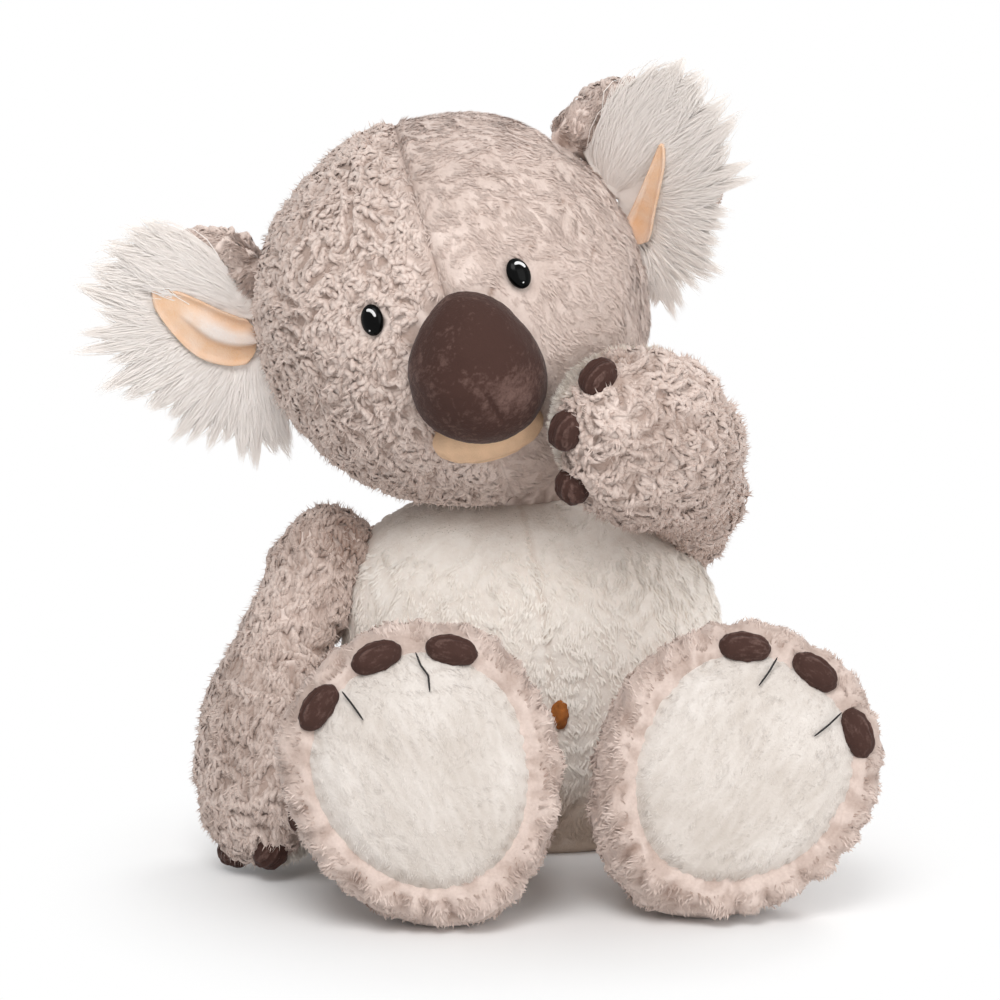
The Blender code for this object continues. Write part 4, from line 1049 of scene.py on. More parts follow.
def make_lining(side, place, body, shape, tints):
    """The felt lining: a cupped band along a bent line, as wide as each point says, with a soft fold in its middle."""
    points = np.array(shape["lining"]) / 1000
    steps = np.linspace(0, len(points) - 1, 64)
    values = through(points, steps)
    line = values[:, :2]
    toward = unit(np.gradient(line, axis=0))
    beside = np.stack([-toward[:, 1], toward[:, 0]], 1)
    share = np.linspace(-1.15, 1.15, 40)
    ends = np.sqrt(np.clip(1 - np.linspace(-0.99, 0.99, 64) ** 8, 0, 1))
    spread = line[:, None] + beside[:, None] * (share[None, :] * (values[:, 2] * ends)[:, None])[..., None]
    deep = ease((steps - 1.3) / 1.6)[:, None] if side == "right" else 0.35 * ease(steps / 3)[:, None]
    middle, half = (-0.22, 0.40) if side == "right" else (-0.85, 0.3)
    fold = np.exp(-((np.abs(share[None] - middle) / half) ** 4)) * deep
    under = pelt_height(shape, spread.reshape(-1, 2), np.array(shape["sweep"]) / 1000).reshape(fold.shape)
    ahead = under + (0.0024 if side == "right" else 0.0034) + 0.0030 * fold
    grid = ear_spot(place, spread[..., 0], spread[..., 1], ahead)
    flat = grid.reshape(-1, 3)
    streak = noise(flat, 0.005, 91).reshape(fold.shape)
    tone = np.clip(0.15 + 0.20 * streak + 0.62 * fold + 0.15 * ease(share[None] - 0.4), 0, 1)
    piece = grid_piece("ear_felt_" + side, grid, tone, False, (False, False), np.array(place[2]))
    solid = piece.modifiers.new("thickness", "SOLIDIFY")
    solid.thickness = 0.0012
    solid.offset = -1
    deep_peach = [share * value for share, value in zip((1.0, 0.93, 0.86), tints.peach)]
    felt = material_once("ear_felt_cloth", cloth, deep_peach, (0.90, 0.85, 0.82), scale=1600.0, sheen=0.15)
    dress(piece, body, felt, ["ear_lining_" + side])


# Body


def torso_rows(sizes, share):
    """The body's centre and half sizes at a share of its height: two super-ellipses that meet at the widest height."""
    height = sizes.torso_height * share
    widest = 0.062
    upper = np.clip((height - widest) / (sizes.torso_height - widest), 0, 1)
    lower = np.clip((widest - height) / (widest * 1.22), 0, 1)
    full = np.where(height > widest, (1 - upper**2.8) ** (1 / 2.8), (1 - lower**2.2) ** (1 / 2.2))
    centre = np.stack([-0.012 * share**2, -0.007 * share**2, height], -1)
    return centre, sizes.torso_width * full, sizes.torso_depth * full


def torso_surface(sizes, share, sweep, front):
    """The body's front or back: sweep runs from one side seam to the other."""
    centre, wide, deep = torso_rows(sizes, share)
    seam = np.arcsin(np.clip((0.009 - centre[..., 1]) / np.maximum(deep, 0.01), -0.9, 0.9))
    first, last = (np.pi - seam, 2 * np.pi + seam) if front else (seam, np.pi - seam)
    angle = first + (last - first) * sweep
    spread = np.stack([wide * np.cos(angle), deep * np.sin(angle), 0 * angle], -1)
    return centre + spread


def make_torso():
    """White belly and taupe back, each tucked in along the side seams, with pile, navel patch and neck."""
    sizes, tints = settings()
    share = 1 - (1 - np.linspace(0.0, 0.9985, 130)) ** 1.25
    for name, front, node, slot in (
        ("belly", True, ["belly_panel", "torso_stuffing", "seat_pellet_bag"], "white_plush"),
        ("back", False, ["back_panel"], "taupe_plush"),
    ):
        sweep = np.linspace(0, 1, 180)[None]
        grid = torso_surface(sizes, share[:, None], sweep, front)
        flat = grid.reshape(-1, 3)
        normals = grid_normals(grid, False, grid - grid.mean(1, keepdims=True))
        middle = grid[..., 0] + 0.012 * share[:, None] ** 2
        tuck = np.exp(-((np.minimum(sweep, 1 - sweep) / 0.012) ** 2)) * 0.0022
        if front:
            relief = 0.80 + 0.15 * noise(flat, 0.006, 101) + 0.12 * noise(flat, 0.0026, 103)
            # Painted shade: the belly is darker towards its bottom, low between the legs.
            relief = relief - 0.80 * ease((0.050 - flat[:, 2]) / 0.040)
            relief = np.clip(relief, 0, 1).reshape(grid.shape[:2])
            seam = np.exp(-((middle / 0.0013) ** 2))
            height = noise(flat, 0.006, 101).reshape(seam.shape) * 0.0002 - 0.0011 * seam
            relief = relief - 0.30 * seam
        else:
            relief = curls(flat, 0.0074, 31).reshape(grid.shape[:2])
            height = (relief - 0.6) * sizes.curl_height
        height = height + (noise(flat, 0.05, 109) * 0.0015).reshape(grid.shape[:2])
        rise = ease((grid[..., 2] - 0.002) / 0.012)
        under_head = ease((grid[..., 2] - 0.112) / 0.016)
        height = height * (1 - under_head) - 0.0012 * under_head
        grid = grid + normals * ((height - tuck) * rise)[..., None]
        outward = grid - grid.mean(1, keepdims=True)
        skin = grid_piece(name + "_plush", grid, np.clip(relief, 0, 1), False, (True, True), outward)
        cloth_of = white() if front else taupe()
        dress(skin, "torso", cloth_of, node)
        roots, ways = scatter(grid, normals, 26000, 113 + front, False)
        keep = (roots[:, 2] > 0.006) & (np.linalg.norm(roots - np.array(NAVEL_POINT), axis=1) > 0.0042)
        roots, ways = roots[keep], ways[keep]
        flow = np.broadcast_to(np.array((0.0, 0.0, -1.0)), roots.shape)
        if front:
            # Painted shade: the pile too is darker towards the belly's bottom.
            shadow = -1.0 * ease((0.050 - roots[:, 2]) / 0.040)
            size = 0.80 - 0.45 * ease((roots[:, 2] - 0.110) / 0.014)
            look = nap_look(117, size, swirl=0.8, tone=(0.90, 1.0), rim=0.03, vary=0.03, shadow=shadow)
            dress(pile(name + "_pile", roots, ways, flow, look), "torso", cloth_of)
        else:
            parts = roots[::3], ways[::3], flow[::3]
            loft = 0.0014 - 0.0009 * ease((roots[::3, 2] - 0.110) / 0.014)
            dress(curl_locks(name + "_pile", *parts, lock_look(119, 1.2, loft=loft)), "torso", cloth_of)
    place = (NAVEL_POINT, (1, 0, 0), (0, 0, 1), tuple(-np.cross((1, 0, 0), (0, 0, 1))))
    grid, _ = ball(place, (0.0034, 0.0056, 0.002), 30, 40)
    flat = grid.reshape(-1, 3)
    grid = grid + (grid_normals(grid).reshape(-1, 3) * (noise(flat, 0.002, 121) * 0.0005)[:, None]).reshape(grid.shape)
    tone = np.clip(0.5 + 0.5 * noise(flat, 0.002, 123), 0, 1).reshape(grid.shape[:2])
    deep = [share * 0.5 for share in tints.navel]
    felt = material_once("navel_felt_cloth", cloth, deep, tints.navel, scale=2000.0, sheen=0.1)
    dress(grid_piece("navel_felt", grid, tone), "torso", felt, ["navel_patch"])
    grid, _ = ball((NECK_POINT, (1, 0, 0), (0, 1, 0), (0, 0, 1)), (0.0215, 0.0215, 0.0215), 50, 70)
    flat = grid.reshape(-1, 3)
    relief = curls(flat, 0.005, 127).reshape(grid.shape[:2])
    neck = grid_piece("neck_plush", grid - grid_normals(grid) * ((1 - relief) * 0.001)[..., None], relief)
    dress(neck, "neck", taupe(), ["neck_stuffing"])


# Arms


def arm_surface(sizes, arm, along, turn):
    """An arm: from -1 to 0 along runs its round root, and from 0 to 1 a bent line whose rings swell to a flat paw."""
    root, bend, tip, flat = (np.array(part) for part in arm)
    share = np.clip(along, 0, 1)[..., None]
    point = root * (1 - share) ** 2 + bend * 2 * share * (1 - share) + tip * share**2
    toward = unit((bend - root) * (1 - share) + (tip - bend) * share)
    rise = unit(flat - toward * (toward * flat).sum(-1, keepdims=True))
    side = np.cross(toward, rise)
    share = share[..., 0]
    slim = 0.018 - 0.0015 * ease(share / 0.25)
    swell = ease((share - 0.25) / 0.47)
    wide = slim + (sizes.paw_width - slim) * swell
    thick = slim + (sizes.paw_thickness - slim) * swell
    past = np.clip((share - 0.70) / 0.30, 0, 1)
    rounding = np.sqrt(np.clip(1 - past**2.2, 0, 1))
    back = np.clip(-along, 0, 1)
    rounding = rounding * np.cos(back * np.pi / 2 * 0.98)
    point = point - toward * (0.018 * np.sin(back * np.pi / 2))[..., None]
    ring = side * (wide * rounding * np.cos(turn))[..., None] + rise * (thick * rounding * np.sin(turn))[..., None]
    return point + ring


def make_arm(side):
    """One arm: curly skin, white palm, pile and three claws."""
    sizes = settings()[0]
    arm = ARMS[side]
    body = "arm_" + side
    rows = np.concatenate([np.linspace(-0.97, 0, 20)[:-1], 1 - (1 - np.linspace(0, 1, 125)) ** 1.35])
    rows[-1] = 0.9995
    turn = np.linspace(0, 2 * np.pi, 150, endpoint=False)[None]
    form = arm_surface(sizes, arm, rows[:, None] + 0 * turn, turn + 0 * rows[:, None])
    flat = form.reshape(-1, 3)
    rope = 0.0088 if side == "left" else 0.0084
    relief = curls(flat, rope, 133).reshape(form.shape[:2])
    normals = grid_normals(form)
    lift = (relief - 0.6) * sizes.curl_height * 1.2 + (noise(flat, 0.02, 135) * 0.0030).reshape(form.shape[:2])
    lift = lift * ease((form[..., 2] - 0.001) / 0.006)
    grid = form + normals * lift[..., None]
    skin = grid_piece("arm_plush_" + side, grid, relief)
    dress(skin, body, taupe(), ["arm_skin_" + side, "arm_stuffing_" + side])
    reach = np.linspace(0.03, 1, 40)[:, None]
    swing = np.linspace(0, 2 * np.pi, 90, endpoint=False)[None]
    far = 0.80 + 0.195 * reach * np.cos(swing)
    patch = arm_surface(sizes, arm, far, -np.pi / 2 + 1.2 * reach * np.sin(swing))
    outward = unit(patch - arm_surface(sizes, arm, np.minimum(far, 0.9), np.pi / 2 + 0 * swing))
    puff = 0.0022 + 0.0024 * ease((far - 0.85) / 0.1) - 0.0034 * reach**6
    patch = patch + outward * (puff + 0 * swing)[..., None]
    palm_tone = np.clip(0.6 + 0.3 * noise(patch.reshape(-1, 3), 0.003, 137), 0, 1).reshape(patch.shape[:2])
    palm = grid_piece("palm_plush_" + side, patch, palm_tone, True, (True, False), outward)
    dress(palm, body, white(), ["palm_pad_" + side])
    roots, ways = scatter(patch, unit(outward + 0 * patch), 7000, 139)
    flow = np.broadcast_to(np.array(arm[2]) - np.array(arm[1]), roots.shape)
    look = nap_look(141, 0.9, lean=(0.9, 1.4), rope=0.006, tone=(0.84, 0.99))
    dress(pile("palm_pile_" + side, roots, ways, flow, look), body, white())
    roots, ways = scatter(grid, normals, 25000, 143)
    near_palm = np.zeros(len(roots), bool)
    for ring in patch[::6]:
        gaps = np.linalg.norm(roots[:, None] - ring[None, ::6], axis=2)
        near_palm |= gaps.min(1) < 0.0035
    near_claw = np.zeros(len(roots), bool)
    for spot, out, way in ARM_CLAWS[side]:
        near_claw |= np.linalg.norm(roots - np.array(spot), axis=1) < 0.0062
    keep = ~near_palm & ~near_claw & (roots[:, 2] > 0.0045)
    roots, ways = roots[keep], ways[keep]
    flow = np.broadcast_to(np.array(arm[2]) - np.array(arm[0]), roots.shape)
    claw_gap = np.min([np.linalg.norm(roots - np.array(spot), axis=1) for spot, out, way in ARM_CLAWS[side]], axis=0)
    size = 0.95 - 0.40 * np.exp(-((claw_gap / 0.014) ** 2))
    follow = 0.5 if side == "left" else 1.6
    fuzz = [part[::3] for part in (roots, ways, flow)]
    hair = pile("arm_fuzz_" + side, *fuzz, fuzz_look(145, rope=rope, rope_seed=133, follow=follow))
    dress(hair, body, taupe())
    broad = 0.22 * noise(roots[::3], 0.022, 149) + 0.18 * noise(roots[::3], 0.009, 150) - 0.06
    broad = broad - 0.45 * np.exp(-((roots[::3] - SHOULDER_SHADE) ** 2).sum(1) / 0.016**2)
    look = lock_look(
        146, rope=rope, rope_seed=133, follow=follow, length=0.0066 * size[::3], bend=0.6, round=20.0, stray=0.22,
        loft=0.0013, tone=(0.42, 0.92), rim=0.24, shadow=broad,
    )
    curled = [part[::3] for part in (roots, ways, flow)]
    dress(curl_locks("arm_curls_" + side, *curled, look), body, taupe())
    for number, (spot, out, way) in enumerate(ARM_CLAWS[side], 1):
        make_claw("arm_claw_%s_%d" % (side, number), spot, out, way, (0.0076, 0.0056, 0.0062), body)


def make_claw(node, spot, out, way, half_sizes, body):
    """A velour claw: a squared ball with a pinched seam and a nap that is brushed along its length."""
    up = np.cross(way, out)
    place = (spot, way, tuple(up), out)
    grid, shape = ball(place, half_sizes, 50, 80)
    local = along_axes(grid, place)
    squared = np.sign(shape) * np.abs(shape) ** 0.85 * np.array(half_sizes)
    local = 0.5 * local + 0.5 * squared
    front = ease(local[..., 2] / 0.002)
    seam = np.exp(-((local[..., 1] / 0.0006) ** 2)) * front
    ribs = np.cos(local[..., 1] * np.pi / 0.0011) * front * (1 - seam)
    local[..., 2] += 0.00032 * ribs - 0.0008 * seam
    flat = local.reshape(-1, 3)
    local = local + grid_normals(local) * (noise(flat, 0.0025, 151) * 0.00035).reshape(local.shape[:2])[..., None]
    streaks = noise(flat * np.array((0.25, 1, 1)), 0.0009, 153).reshape(seam.shape)
    # The tone is lighter on the ribs and deeper between them: painted light and painted shade.
    tone = np.clip(0.38 - 0.35 * seam + 0.50 * streaks + 0.26 * ribs, 0, 1)
    claw = grid_piece(node.replace("claw", "velour_claw"), placed(local, place), tone)
    dress(claw, body, claw_cloth(), [node])


# Legs


# The foot's depth behind its sole and its width there, both as shares
FOOT_PROFILE = (
    (0.00, 0.52), (0.12, 0.74), (0.32, 0.93), (0.56, 1.00), (0.78, 0.95), (0.93, 0.83), (1.02, 0.62), (1.06, 0.36),
    (1.08, 0.12), (1.085, 0.0),
)


def through(values, steps):
    """Smooth curve through rows of values: each stretch blends its ends with slopes read from their neighbours."""
    values = np.array(values, float)
    low = np.clip(np.floor(steps).astype(int), 0, len(values) - 2)
    share = (steps - low)[..., None]
    padded = np.concatenate([2 * values[:1] - values[1:2], values, 2 * values[-1:] - values[-2:-1]])
    before, first, last, after = (padded[low + k] for k in range(4))
    return 0.5 * (
        2 * first + (last - before) * share + (2 * before - 5 * first + 4 * last - after) * share**2
        + (3 * first - before - 3 * last + after) * share**3
    )


def leg_rows(sizes, foot, hip):
    """Rings of a leg as rows of centre, side and rise: round root, short leg, then the foot's profile."""
    centre, side, back, rise = (np.array(part) for part in foot)
    hip = np.array(hip)
    toward = unit(centre - hip)
    across = unit(side - toward * (side @ toward))
    over = np.cross(across, toward)
    rows = []
    for angle in (88, 62, 30):
        lean = np.radians(angle)
        rows.append((hip - toward * 0.025 * np.sin(lean), across * 0.025 * np.cos(lean), over * 0.025 * np.cos(lean)))
    rows.append((hip, across * 0.025, over * 0.025))
    rows.append((hip + (centre - hip) * 0.55, across * 0.0235, over * 0.0235))
    for depth, full in FOOT_PROFILE:
        middle = centre - back * sizes.foot_depth * depth
        rows.append((middle, side * sizes.foot_width * full, rise * sizes.foot_height * full))
    return np.array([np.concatenate(row) for row in rows])


def make_leg(side):
    """One leg: gathered curly skin, white sole, pile, three claws and the stitches between them."""
    sizes, tints = settings()
    foot = FEET[side]
    body = "leg_" + side
    rows = leg_rows(sizes, foot, HIPS[side])
    steps = np.linspace(0, len(rows) - 1.001, 150)
    curve = through(rows, steps)
    centre, across, rise = curve[:, None, 0:3], curve[:, None, 3:6], curve[:, None, 6:9]
    turn = np.linspace(0, 2 * np.pi, 190, endpoint=False)[None, :, None]
    on_foot = ease((steps - 4) / 1.5)[:, None, None]
    form = centre + across * np.cos(turn) * (1 + 0.10 * on_foot * np.sin(turn)) + rise * np.sin(turn)
    normals = grid_normals(form)
    flat = form.reshape(-1, 3)
    relief = curls(flat, 0.0075, 31).reshape(form.shape[:2])
    local = along_axes(form, foot)
    egg = sole_share_of(local[..., 0], local[..., 2])
    ahead = ease((-local[..., 1] - 0.024) / 0.012)
    sole_share = ease((1.02 - egg) / 0.06) * ahead
    rim = np.exp(-(((egg - 1.13) / 0.10) ** 2)) * ahead
    angle = np.arctan2(local[..., 2], local[..., 0])
    wave = np.abs(np.sin(angle * 10 + 4.5 * noise(flat, 0.035, 165).reshape(angle.shape)))
    low = 0.55 + 0.45 * ease((0.03 - local[..., 2]) / 0.06)
    pleats = (wave - 0.55) * rim * low
    lumps = noise(flat, 0.0085, 168).reshape(angle.shape) * ease((egg - 1.0) / 0.12)
    lift = (relief - 0.6) * sizes.curl_height * 0.5 + 0.0028 * rim + 0.0034 * pleats - 0.0022 * sole_share
    lift = lift + 0.0013 * lumps
    lift = lift + (noise(flat, 0.03, 167) * 0.0014).reshape(angle.shape)
    lift = lift * ease((form[..., 2] + 0.001) / 0.008)
    grid = form + normals * lift[..., None]
    grid[..., 2] = np.maximum(grid[..., 2], 0.0)
    # The skin is painted lighter on its raised pleats and lumps and deeper in the folds between them, as painted light
    # and painted shade.
    tone = np.clip((0.3 + 0.42 * relief) * (1 - 0.3 * rim) + 0.35 * pleats + 0.02 * rim + 0.16 * lumps, 0, 1)
    skin = grid_piece("leg_plush_" + side, grid, tone)
    dress(skin, body, taupe(), ["leg_skin_" + side, "leg_stuffing_" + side])
    roots, ways = scatter(grid, grid_normals(grid), 25000, 171)
    spot = along_axes(roots, foot)
    egg = sole_share_of(spot[:, 0], spot[:, 2])
    keep = ((egg > 1.03) | (spot[:, 1] > -0.024)) & (roots[:, 2] > 0.004)
    for claw_spot, out, way in FOOT_CLAWS[side]:
        keep &= np.linalg.norm(roots - np.array(claw_spot), axis=1) > 0.0075
    roots, ways, spot = roots[keep], ways[keep], spot[keep]
    egg = egg[keep]
    fan = np.stack([spot[:, 0], 0.012 + 0 * spot[:, 0], spot[:, 2]], 1)
    flow = placed(unit(fan), ((0, 0, 0),) + foot[1:])
    size = 0.75 - 0.20 * ease((1.35 - egg) / 0.15) * ease((-spot[:, 1] - 0.02) / 0.01)
    # Painted light and shade in the pile: lighter on the raised gathers and lumps, deeper in their folds and in a ring
    # just outside the sole's edge.
    gather_light_and_shade = 0.30 * (np.abs(np.sin(np.arctan2(spot[:, 2], spot[:, 0]) * 10 + 4.5 * noise(roots, 0.035, 165))) - 0.7)
    gather_light_and_shade = gather_light_and_shade * np.exp(-(((egg - 1.13) / 0.10) ** 2)) - 0.30 * np.exp(-(((egg - 1.04) / 0.03) ** 2))
    gather_light_and_shade = gather_light_and_shade + 0.16 * noise(roots, 0.0085, 168)
    changes = {"rope": 0.0085, "follow": 1.0, "loft": 0.0008, "round": 2.0, "rim": 0.22, "tone": (0.54, 0.76)}
    look = nap_look(173, size, shadow=gather_light_and_shade, **changes)
    hair = pile("leg_curls_" + side, roots, ways, flow, look)
    dress(hair, body, taupe())
    make_sole(side, sizes, foot, body, tints)
    for number, (claw_spot, out, way) in enumerate(FOOT_CLAWS[side], 1):
        make_claw("foot_claw_%s_%d" % (side, number), claw_spot, out, way, (0.0094, 0.0054, 0.0054), body)


def sole_share_of(local_x, local_z):
    """Where a spot of the foot's front lies: 0 in the sole's middle and 1 on its egg-shaped edge."""
    wide = 0.0390 * (1 + 0.1 * np.clip(local_z / 0.042, -1, 1))
    return np.sqrt((local_x / wide) ** 2 + ((local_z - 0.0035) / 0.0435) ** 2)


def sole_height(local_x, local_z, sizes):
    """How far ahead of the foot's back the sole lies at a spot, read from the foot's profile."""
    profile = np.array(FOOT_PROFILE[4:])[::-1]
    wide = sizes.foot_width * (1 + 0.1 * np.clip(local_z / sizes.foot_height, -1, 1))
    full = np.sqrt((local_x / wide) ** 2 + (local_z / sizes.foot_height) ** 2)
    return sizes.foot_depth * np.interp(full, profile[:, 1], profile[:, 0])


def make_sole(side, sizes, foot, body, tints):
    """The sole: an egg-shaped pad, puffed over the foot's front and drawn in at its seam, with pile and stitches."""
    reach = np.linspace(0.01, 1, 70)[:, None]
    swing = np.linspace(0, 2 * np.pi, 150, endpoint=False)[None]
    across = 0.0395 * reach * np.cos(swing) * (1 + 0.1 * np.sin(swing))
    up = 0.0035 + 0.044 * reach * np.sin(swing)
    depth = sole_height(across, up, sizes) + 0.0015 * (1 - reach**2) - 0.0030 * reach**14
    local = np.stack([across, -depth, up], -1)
    flat = local.reshape(-1, 3)
    # The sole's tone holds painted light and shade: lighter on its puffs, deeper in its hollows, towards its bottom and
    # in the gathers at its edge; the fine streaks are its brushed nap.
    relief = 0.66 + 0.34 * noise(flat, 0.024, 181) + 0.25 * noise(flat * np.array((1, 1, 0.3)), 0.0022, 183)
    relief = np.clip(relief - 0.25 * ease((0.01 - flat[:, 2]) / 0.05), 0, 1)
    sole_gather_shade = np.exp(-(((reach - 0.93) / 0.05) ** 2)) * (0.5 + 0.5 * np.cos(swing * 46))
    local[..., 1] -= (relief.reshape(local.shape[:2]) - 0.5) * 0.0009 - 0.0006 * sole_gather_shade
    grid = placed(local, foot)
    tone = np.clip(relief.reshape(sole_gather_shade.shape) - 0.25 * sole_gather_shade, 0, 1)
    deep = [share * value for share, value in zip((0.70, 0.66, 0.62), tints.sole)]
    sole_cloth = material_once("sole_plush_cloth", cloth, deep, tints.sole, scale=1100.0, spread=0.25, sheen=0.2)
    ahead = -np.array(foot[2])
    pad = grid_piece("sole_plush_" + side, grid, tone, True, (True, False), ahead)
    dress(pad, body, sole_cloth, ["sole_pad_" + side])
    roots, ways = scatter(grid, grid_normals(grid, True, ahead), 9000, 185)
    flow = np.broadcast_to(-np.array(foot[3]), roots.shape)
    spot = along_axes(roots, foot)
    # Painted shade on the pile as well: deeper over the hollows and towards the bottom.
    shade = 0.34 * noise(spot, 0.024, 181) - 0.25 * ease((0.01 - spot[:, 2]) / 0.05)
    look = nap_look(187, 0.55, width=0.0004, loft=0.0001, rope=0.014, tone=(0.72, 0.95), rim=0.06, shadow=shade)
    dress(pile("sole_pile_" + side, roots, ways, flow, look), body, sole_cloth)
    black = material_once("dark_thread", plain_thread, (0.012, 0.009, 0.009))
    for number, path in enumerate(SOLE_STITCHES[side], 1):
        points = np.array(path)
        run = np.linspace(0, len(points) - 1, 16)
        line = np.stack([np.interp(run, np.arange(len(points)), points[:, k]) for k in range(2)], 1)
        depth = sole_height(line[:, 0], line[:, 1], sizes) + 0.0021
        spots = placed(np.stack([line[:, 0], -depth, line[:, 1]], 1), foot)
        thread = thread_piece("sole_stitch_%s_%d" % (side, number), spots, 0.00036, 0.0004, ahead)
        dress(thread, body, black)


SOLE_STITCHES = {
    "right": (
        ((0.0133, 0.0438), (0.0131, 0.0393), (0.0141, 0.0350), (0.0123, 0.0298)),
        ((-0.0156, 0.0415), (-0.0141, 0.0360), (-0.0128, 0.0298)),
    ),
    "left": (
        ((-0.0143, 0.0433), (-0.0140, 0.0373), (-0.0143, 0.0313)),
        ((0.0158, 0.0415), (0.0143, 0.0353), (0.0121, 0.0288)),
    ),
}


# Stage


def make_stage():
    """A pale floor and backdrop, soft lamps and the camera at the photo's angle."""
    scene = bpy.context.scene
    board = Board("pale_floor")
    ray = board.node("ShaderNodeLightPath", {}, [], "Is Camera Ray")
    for name in ("Is Glossy Ray", "Is Transmission Ray"):
        other = board.node("ShaderNodeLightPath", {}, [], name)
        ray = board.node("ShaderNodeMath", {"operation": "MAXIMUM"}, {0: ray, 1: other}, "Value")
    board.finish((0.90, 0.90, 0.90, 1.0), 0.9, board.grain(8.0), 0.02)
    place = board.node("ShaderNodeTexCoord", {}, [], "Object")
    away = board.node("ShaderNodeVectorMath", {"operation": "DISTANCE"}, {0: place, 1: (-0.01, -0.06, 0.0)}, "Value")
    shade_ends = {"Value": away, "From Min": 0.08, "From Max": 0.19}
    far = board.node("ShaderNodeMapRange", {"interpolation_type": "SMOOTHSTEP"}, shade_ends)
    glow = board.node("ShaderNodeEmission", {}, {"Color": (1.0, 1.0, 1.0, 1.0), "Strength": 1.0})
    cloth_floor = Value(board, board.shader.outputs[0])
    both = board.node("ShaderNodeMixShader", {}, {0: ray * far, 1: cloth_floor, 2: glow})
    board.connect(board.out.inputs["Surface"], both)
    spread = np.linspace(-2.5, 2.5, 2)
    grid = np.stack(np.meshgrid(spread, spread, indexing="ij") + [np.zeros((2, 2))], -1)
    floor = grid_piece("floor", grid, None, False, (False, False), np.array((0, 0, 1.0)))
    floor.data.materials.append(board.material)
    world = bpy.data.worlds.new("studio")
    scene.world = world
    world.use_nodes = True
    tree = world.node_tree
    back = tree.nodes["Background"]
    path = tree.nodes.new("ShaderNodeLightPath")
    seen = path.outputs["Is Camera Ray"]
    for name in ("Is Glossy Ray", "Is Transmission Ray"):
        either = tree.nodes.new("ShaderNodeMath")
        either.operation = "MAXIMUM"
        tree.links.new(seen, either.inputs[0])
        tree.links.new(path.outputs[name], either.inputs[1])
        seen = either.outputs[0]
    level = tree.nodes.new("ShaderNodeMath")
    level.operation = "MULTIPLY_ADD"
    level.inputs[1].default_value = 0.65
    level.inputs[2].default_value = 0.35
    tree.links.new(seen, level.inputs[0])
    back.inputs["Color"].default_value = (1.0, 1.0, 1.0, 1.0)
    tree.links.new(level.outputs[0], back.inputs["Strength"])
    target = Vector((-0.02, -0.03, 0.13))
    for name, spot, size, power in (
        ("key_lamp", (-0.30, -1.05, 1.30), 0.8, 15.0),
        ("fill_lamp", (0.9, -1.3, 0.6), 1.2, 8.5),
        ("rim_lamp", (0.7, 0.9, 1.2), 0.7, 10.0),
    ):
        lamp = bpy.data.lights.new(name, "AREA")
        lamp.size = size
        lamp.energy = power
        lamp_object = bpy.data.objects.new(name, lamp)
        scene.collection.objects.link(lamp_object)
        lamp_object.location = spot
        lamp_object.rotation_euler = (target - Vector(spot)).to_track_quat("-Z", "Y").to_euler()
    view = bpy.data.cameras.new("camera")
    view.lens = 142.0
    view.sensor_width = 36.0
    view.clip_end = 20.0
    camera = bpy.data.objects.new("camera", view)
    scene.collection.objects.link(camera)
    aim = Vector((-0.016317, 0.0, 0.129768))
    azimuth, elevation = np.radians(6.0), np.radians(10.0)
    forward = Vector((np.sin(azimuth) * np.cos(elevation), np.cos(azimuth) * np.cos(elevation), -np.sin(elevation)))
    camera.location = aim - forward * 1.5
    camera.rotation_euler = forward.to_track_quat("-Z", "Y").to_euler()
    scene.camera = camera
    scene.view_settings.view_transform = "Standard"


# Operators and panel


class KoalaHead(bpy.types.Operator):
    """Make the two halves of the head with their pile"""

    bl_idname = "koala.head"
    bl_label = "Head"

    def execute(self, context):
        make_head()
        return {"FINISHED"}


class KoalaFace(bpy.types.Operator):
    """Make the nose, the lip and the eyes"""

    bl_idname = "koala.face"
    bl_label = "Nose, lip and eyes"

    def execute(self, context):
        make_nose()
        make_eyes()
        return {"FINISHED"}


class KoalaEars(bpy.types.Operator):
    """Make both ears with their long hair"""

    bl_idname = "koala.ears"
    bl_label = "Ears"

    def execute(self, context):
        for side in EARS:
            make_ear(side)
        return {"FINISHED"}


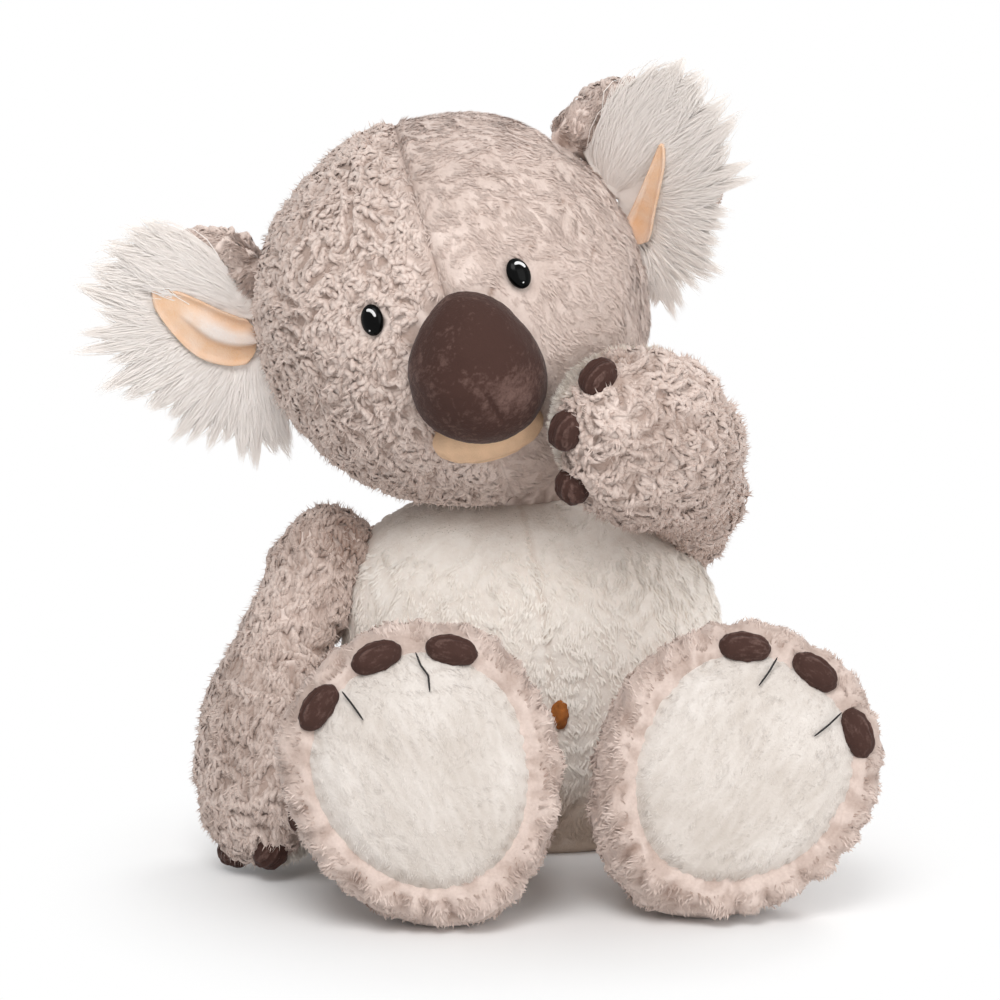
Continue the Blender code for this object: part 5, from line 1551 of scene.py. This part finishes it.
class KoalaBody(bpy.types.Operator):
    """Make the belly, the back, the navel patch and the neck"""

    bl_idname = "koala.body"
    bl_label = "Body"

    def execute(self, context):
        make_torso()
        return {"FINISHED"}


class KoalaArms(bpy.types.Operator):
    """Make both arms with palms and claws"""

    bl_idname = "koala.arms"
    bl_label = "Arms"

    def execute(self, context):
        for side in ARMS:
            make_arm(side)
        return {"FINISHED"}


class KoalaLegs(bpy.types.Operator):
    """Make both legs with soles, claws and stitches"""

    bl_idname = "koala.legs"
    bl_label = "Legs"

    def execute(self, context):
        for side in FEET:
            make_leg(side)
        return {"FINISHED"}


class KoalaStage(bpy.types.Operator):
    """Make the floor, the lamps, the world and the camera"""

    bl_idname = "koala.stage"
    bl_label = "Stage"

    def execute(self, context):
        make_stage()
        return {"FINISHED"}


OPERATORS = (KoalaHead, KoalaFace, KoalaEars, KoalaBody, KoalaArms, KoalaLegs, KoalaStage)


class KoalaPanel(bpy.types.Panel):
    """Lists the koala's operators, sizes and colours"""

    bl_idname = "VIEW3D_PT_koala"
    bl_label = "Plush koala"
    bl_space_type = "VIEW_3D"
    bl_region_type = "UI"
    bl_category = "Koala"

    def draw(self, context):
        for operator in OPERATORS:
            self.layout.operator(operator.bl_idname)
        for group in (context.scene.koala_sizes, context.scene.koala_colours):
            for name in group.__annotations__:
                self.layout.prop(group, name)


CLASSES = (KoalaSizes, KoalaColours) + OPERATORS + (KoalaPanel,)


def register():
    """Register the classes and hang the properties on the scene."""
    for item in CLASSES:
        bpy.utils.register_class(item)
    bpy.types.Scene.koala_sizes = bpy.props.PointerProperty(type=KoalaSizes)
    bpy.types.Scene.koala_colours = bpy.props.PointerProperty(type=KoalaColours)


def unregister():
    """Take the properties and the classes away again."""
    del bpy.types.Scene.koala_colours
    del bpy.types.Scene.koala_sizes
    for item in reversed(CLASSES):
        bpy.utils.unregister_class(item)


def main():
    """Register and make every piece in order."""
    register()
    bpy.ops.koala.head()
    bpy.ops.koala.face()
    bpy.ops.koala.ears()
    bpy.ops.koala.body()
    bpy.ops.koala.arms()
    bpy.ops.koala.legs()
    bpy.ops.koala.stage()


if __name__ == "__main__":
    main()
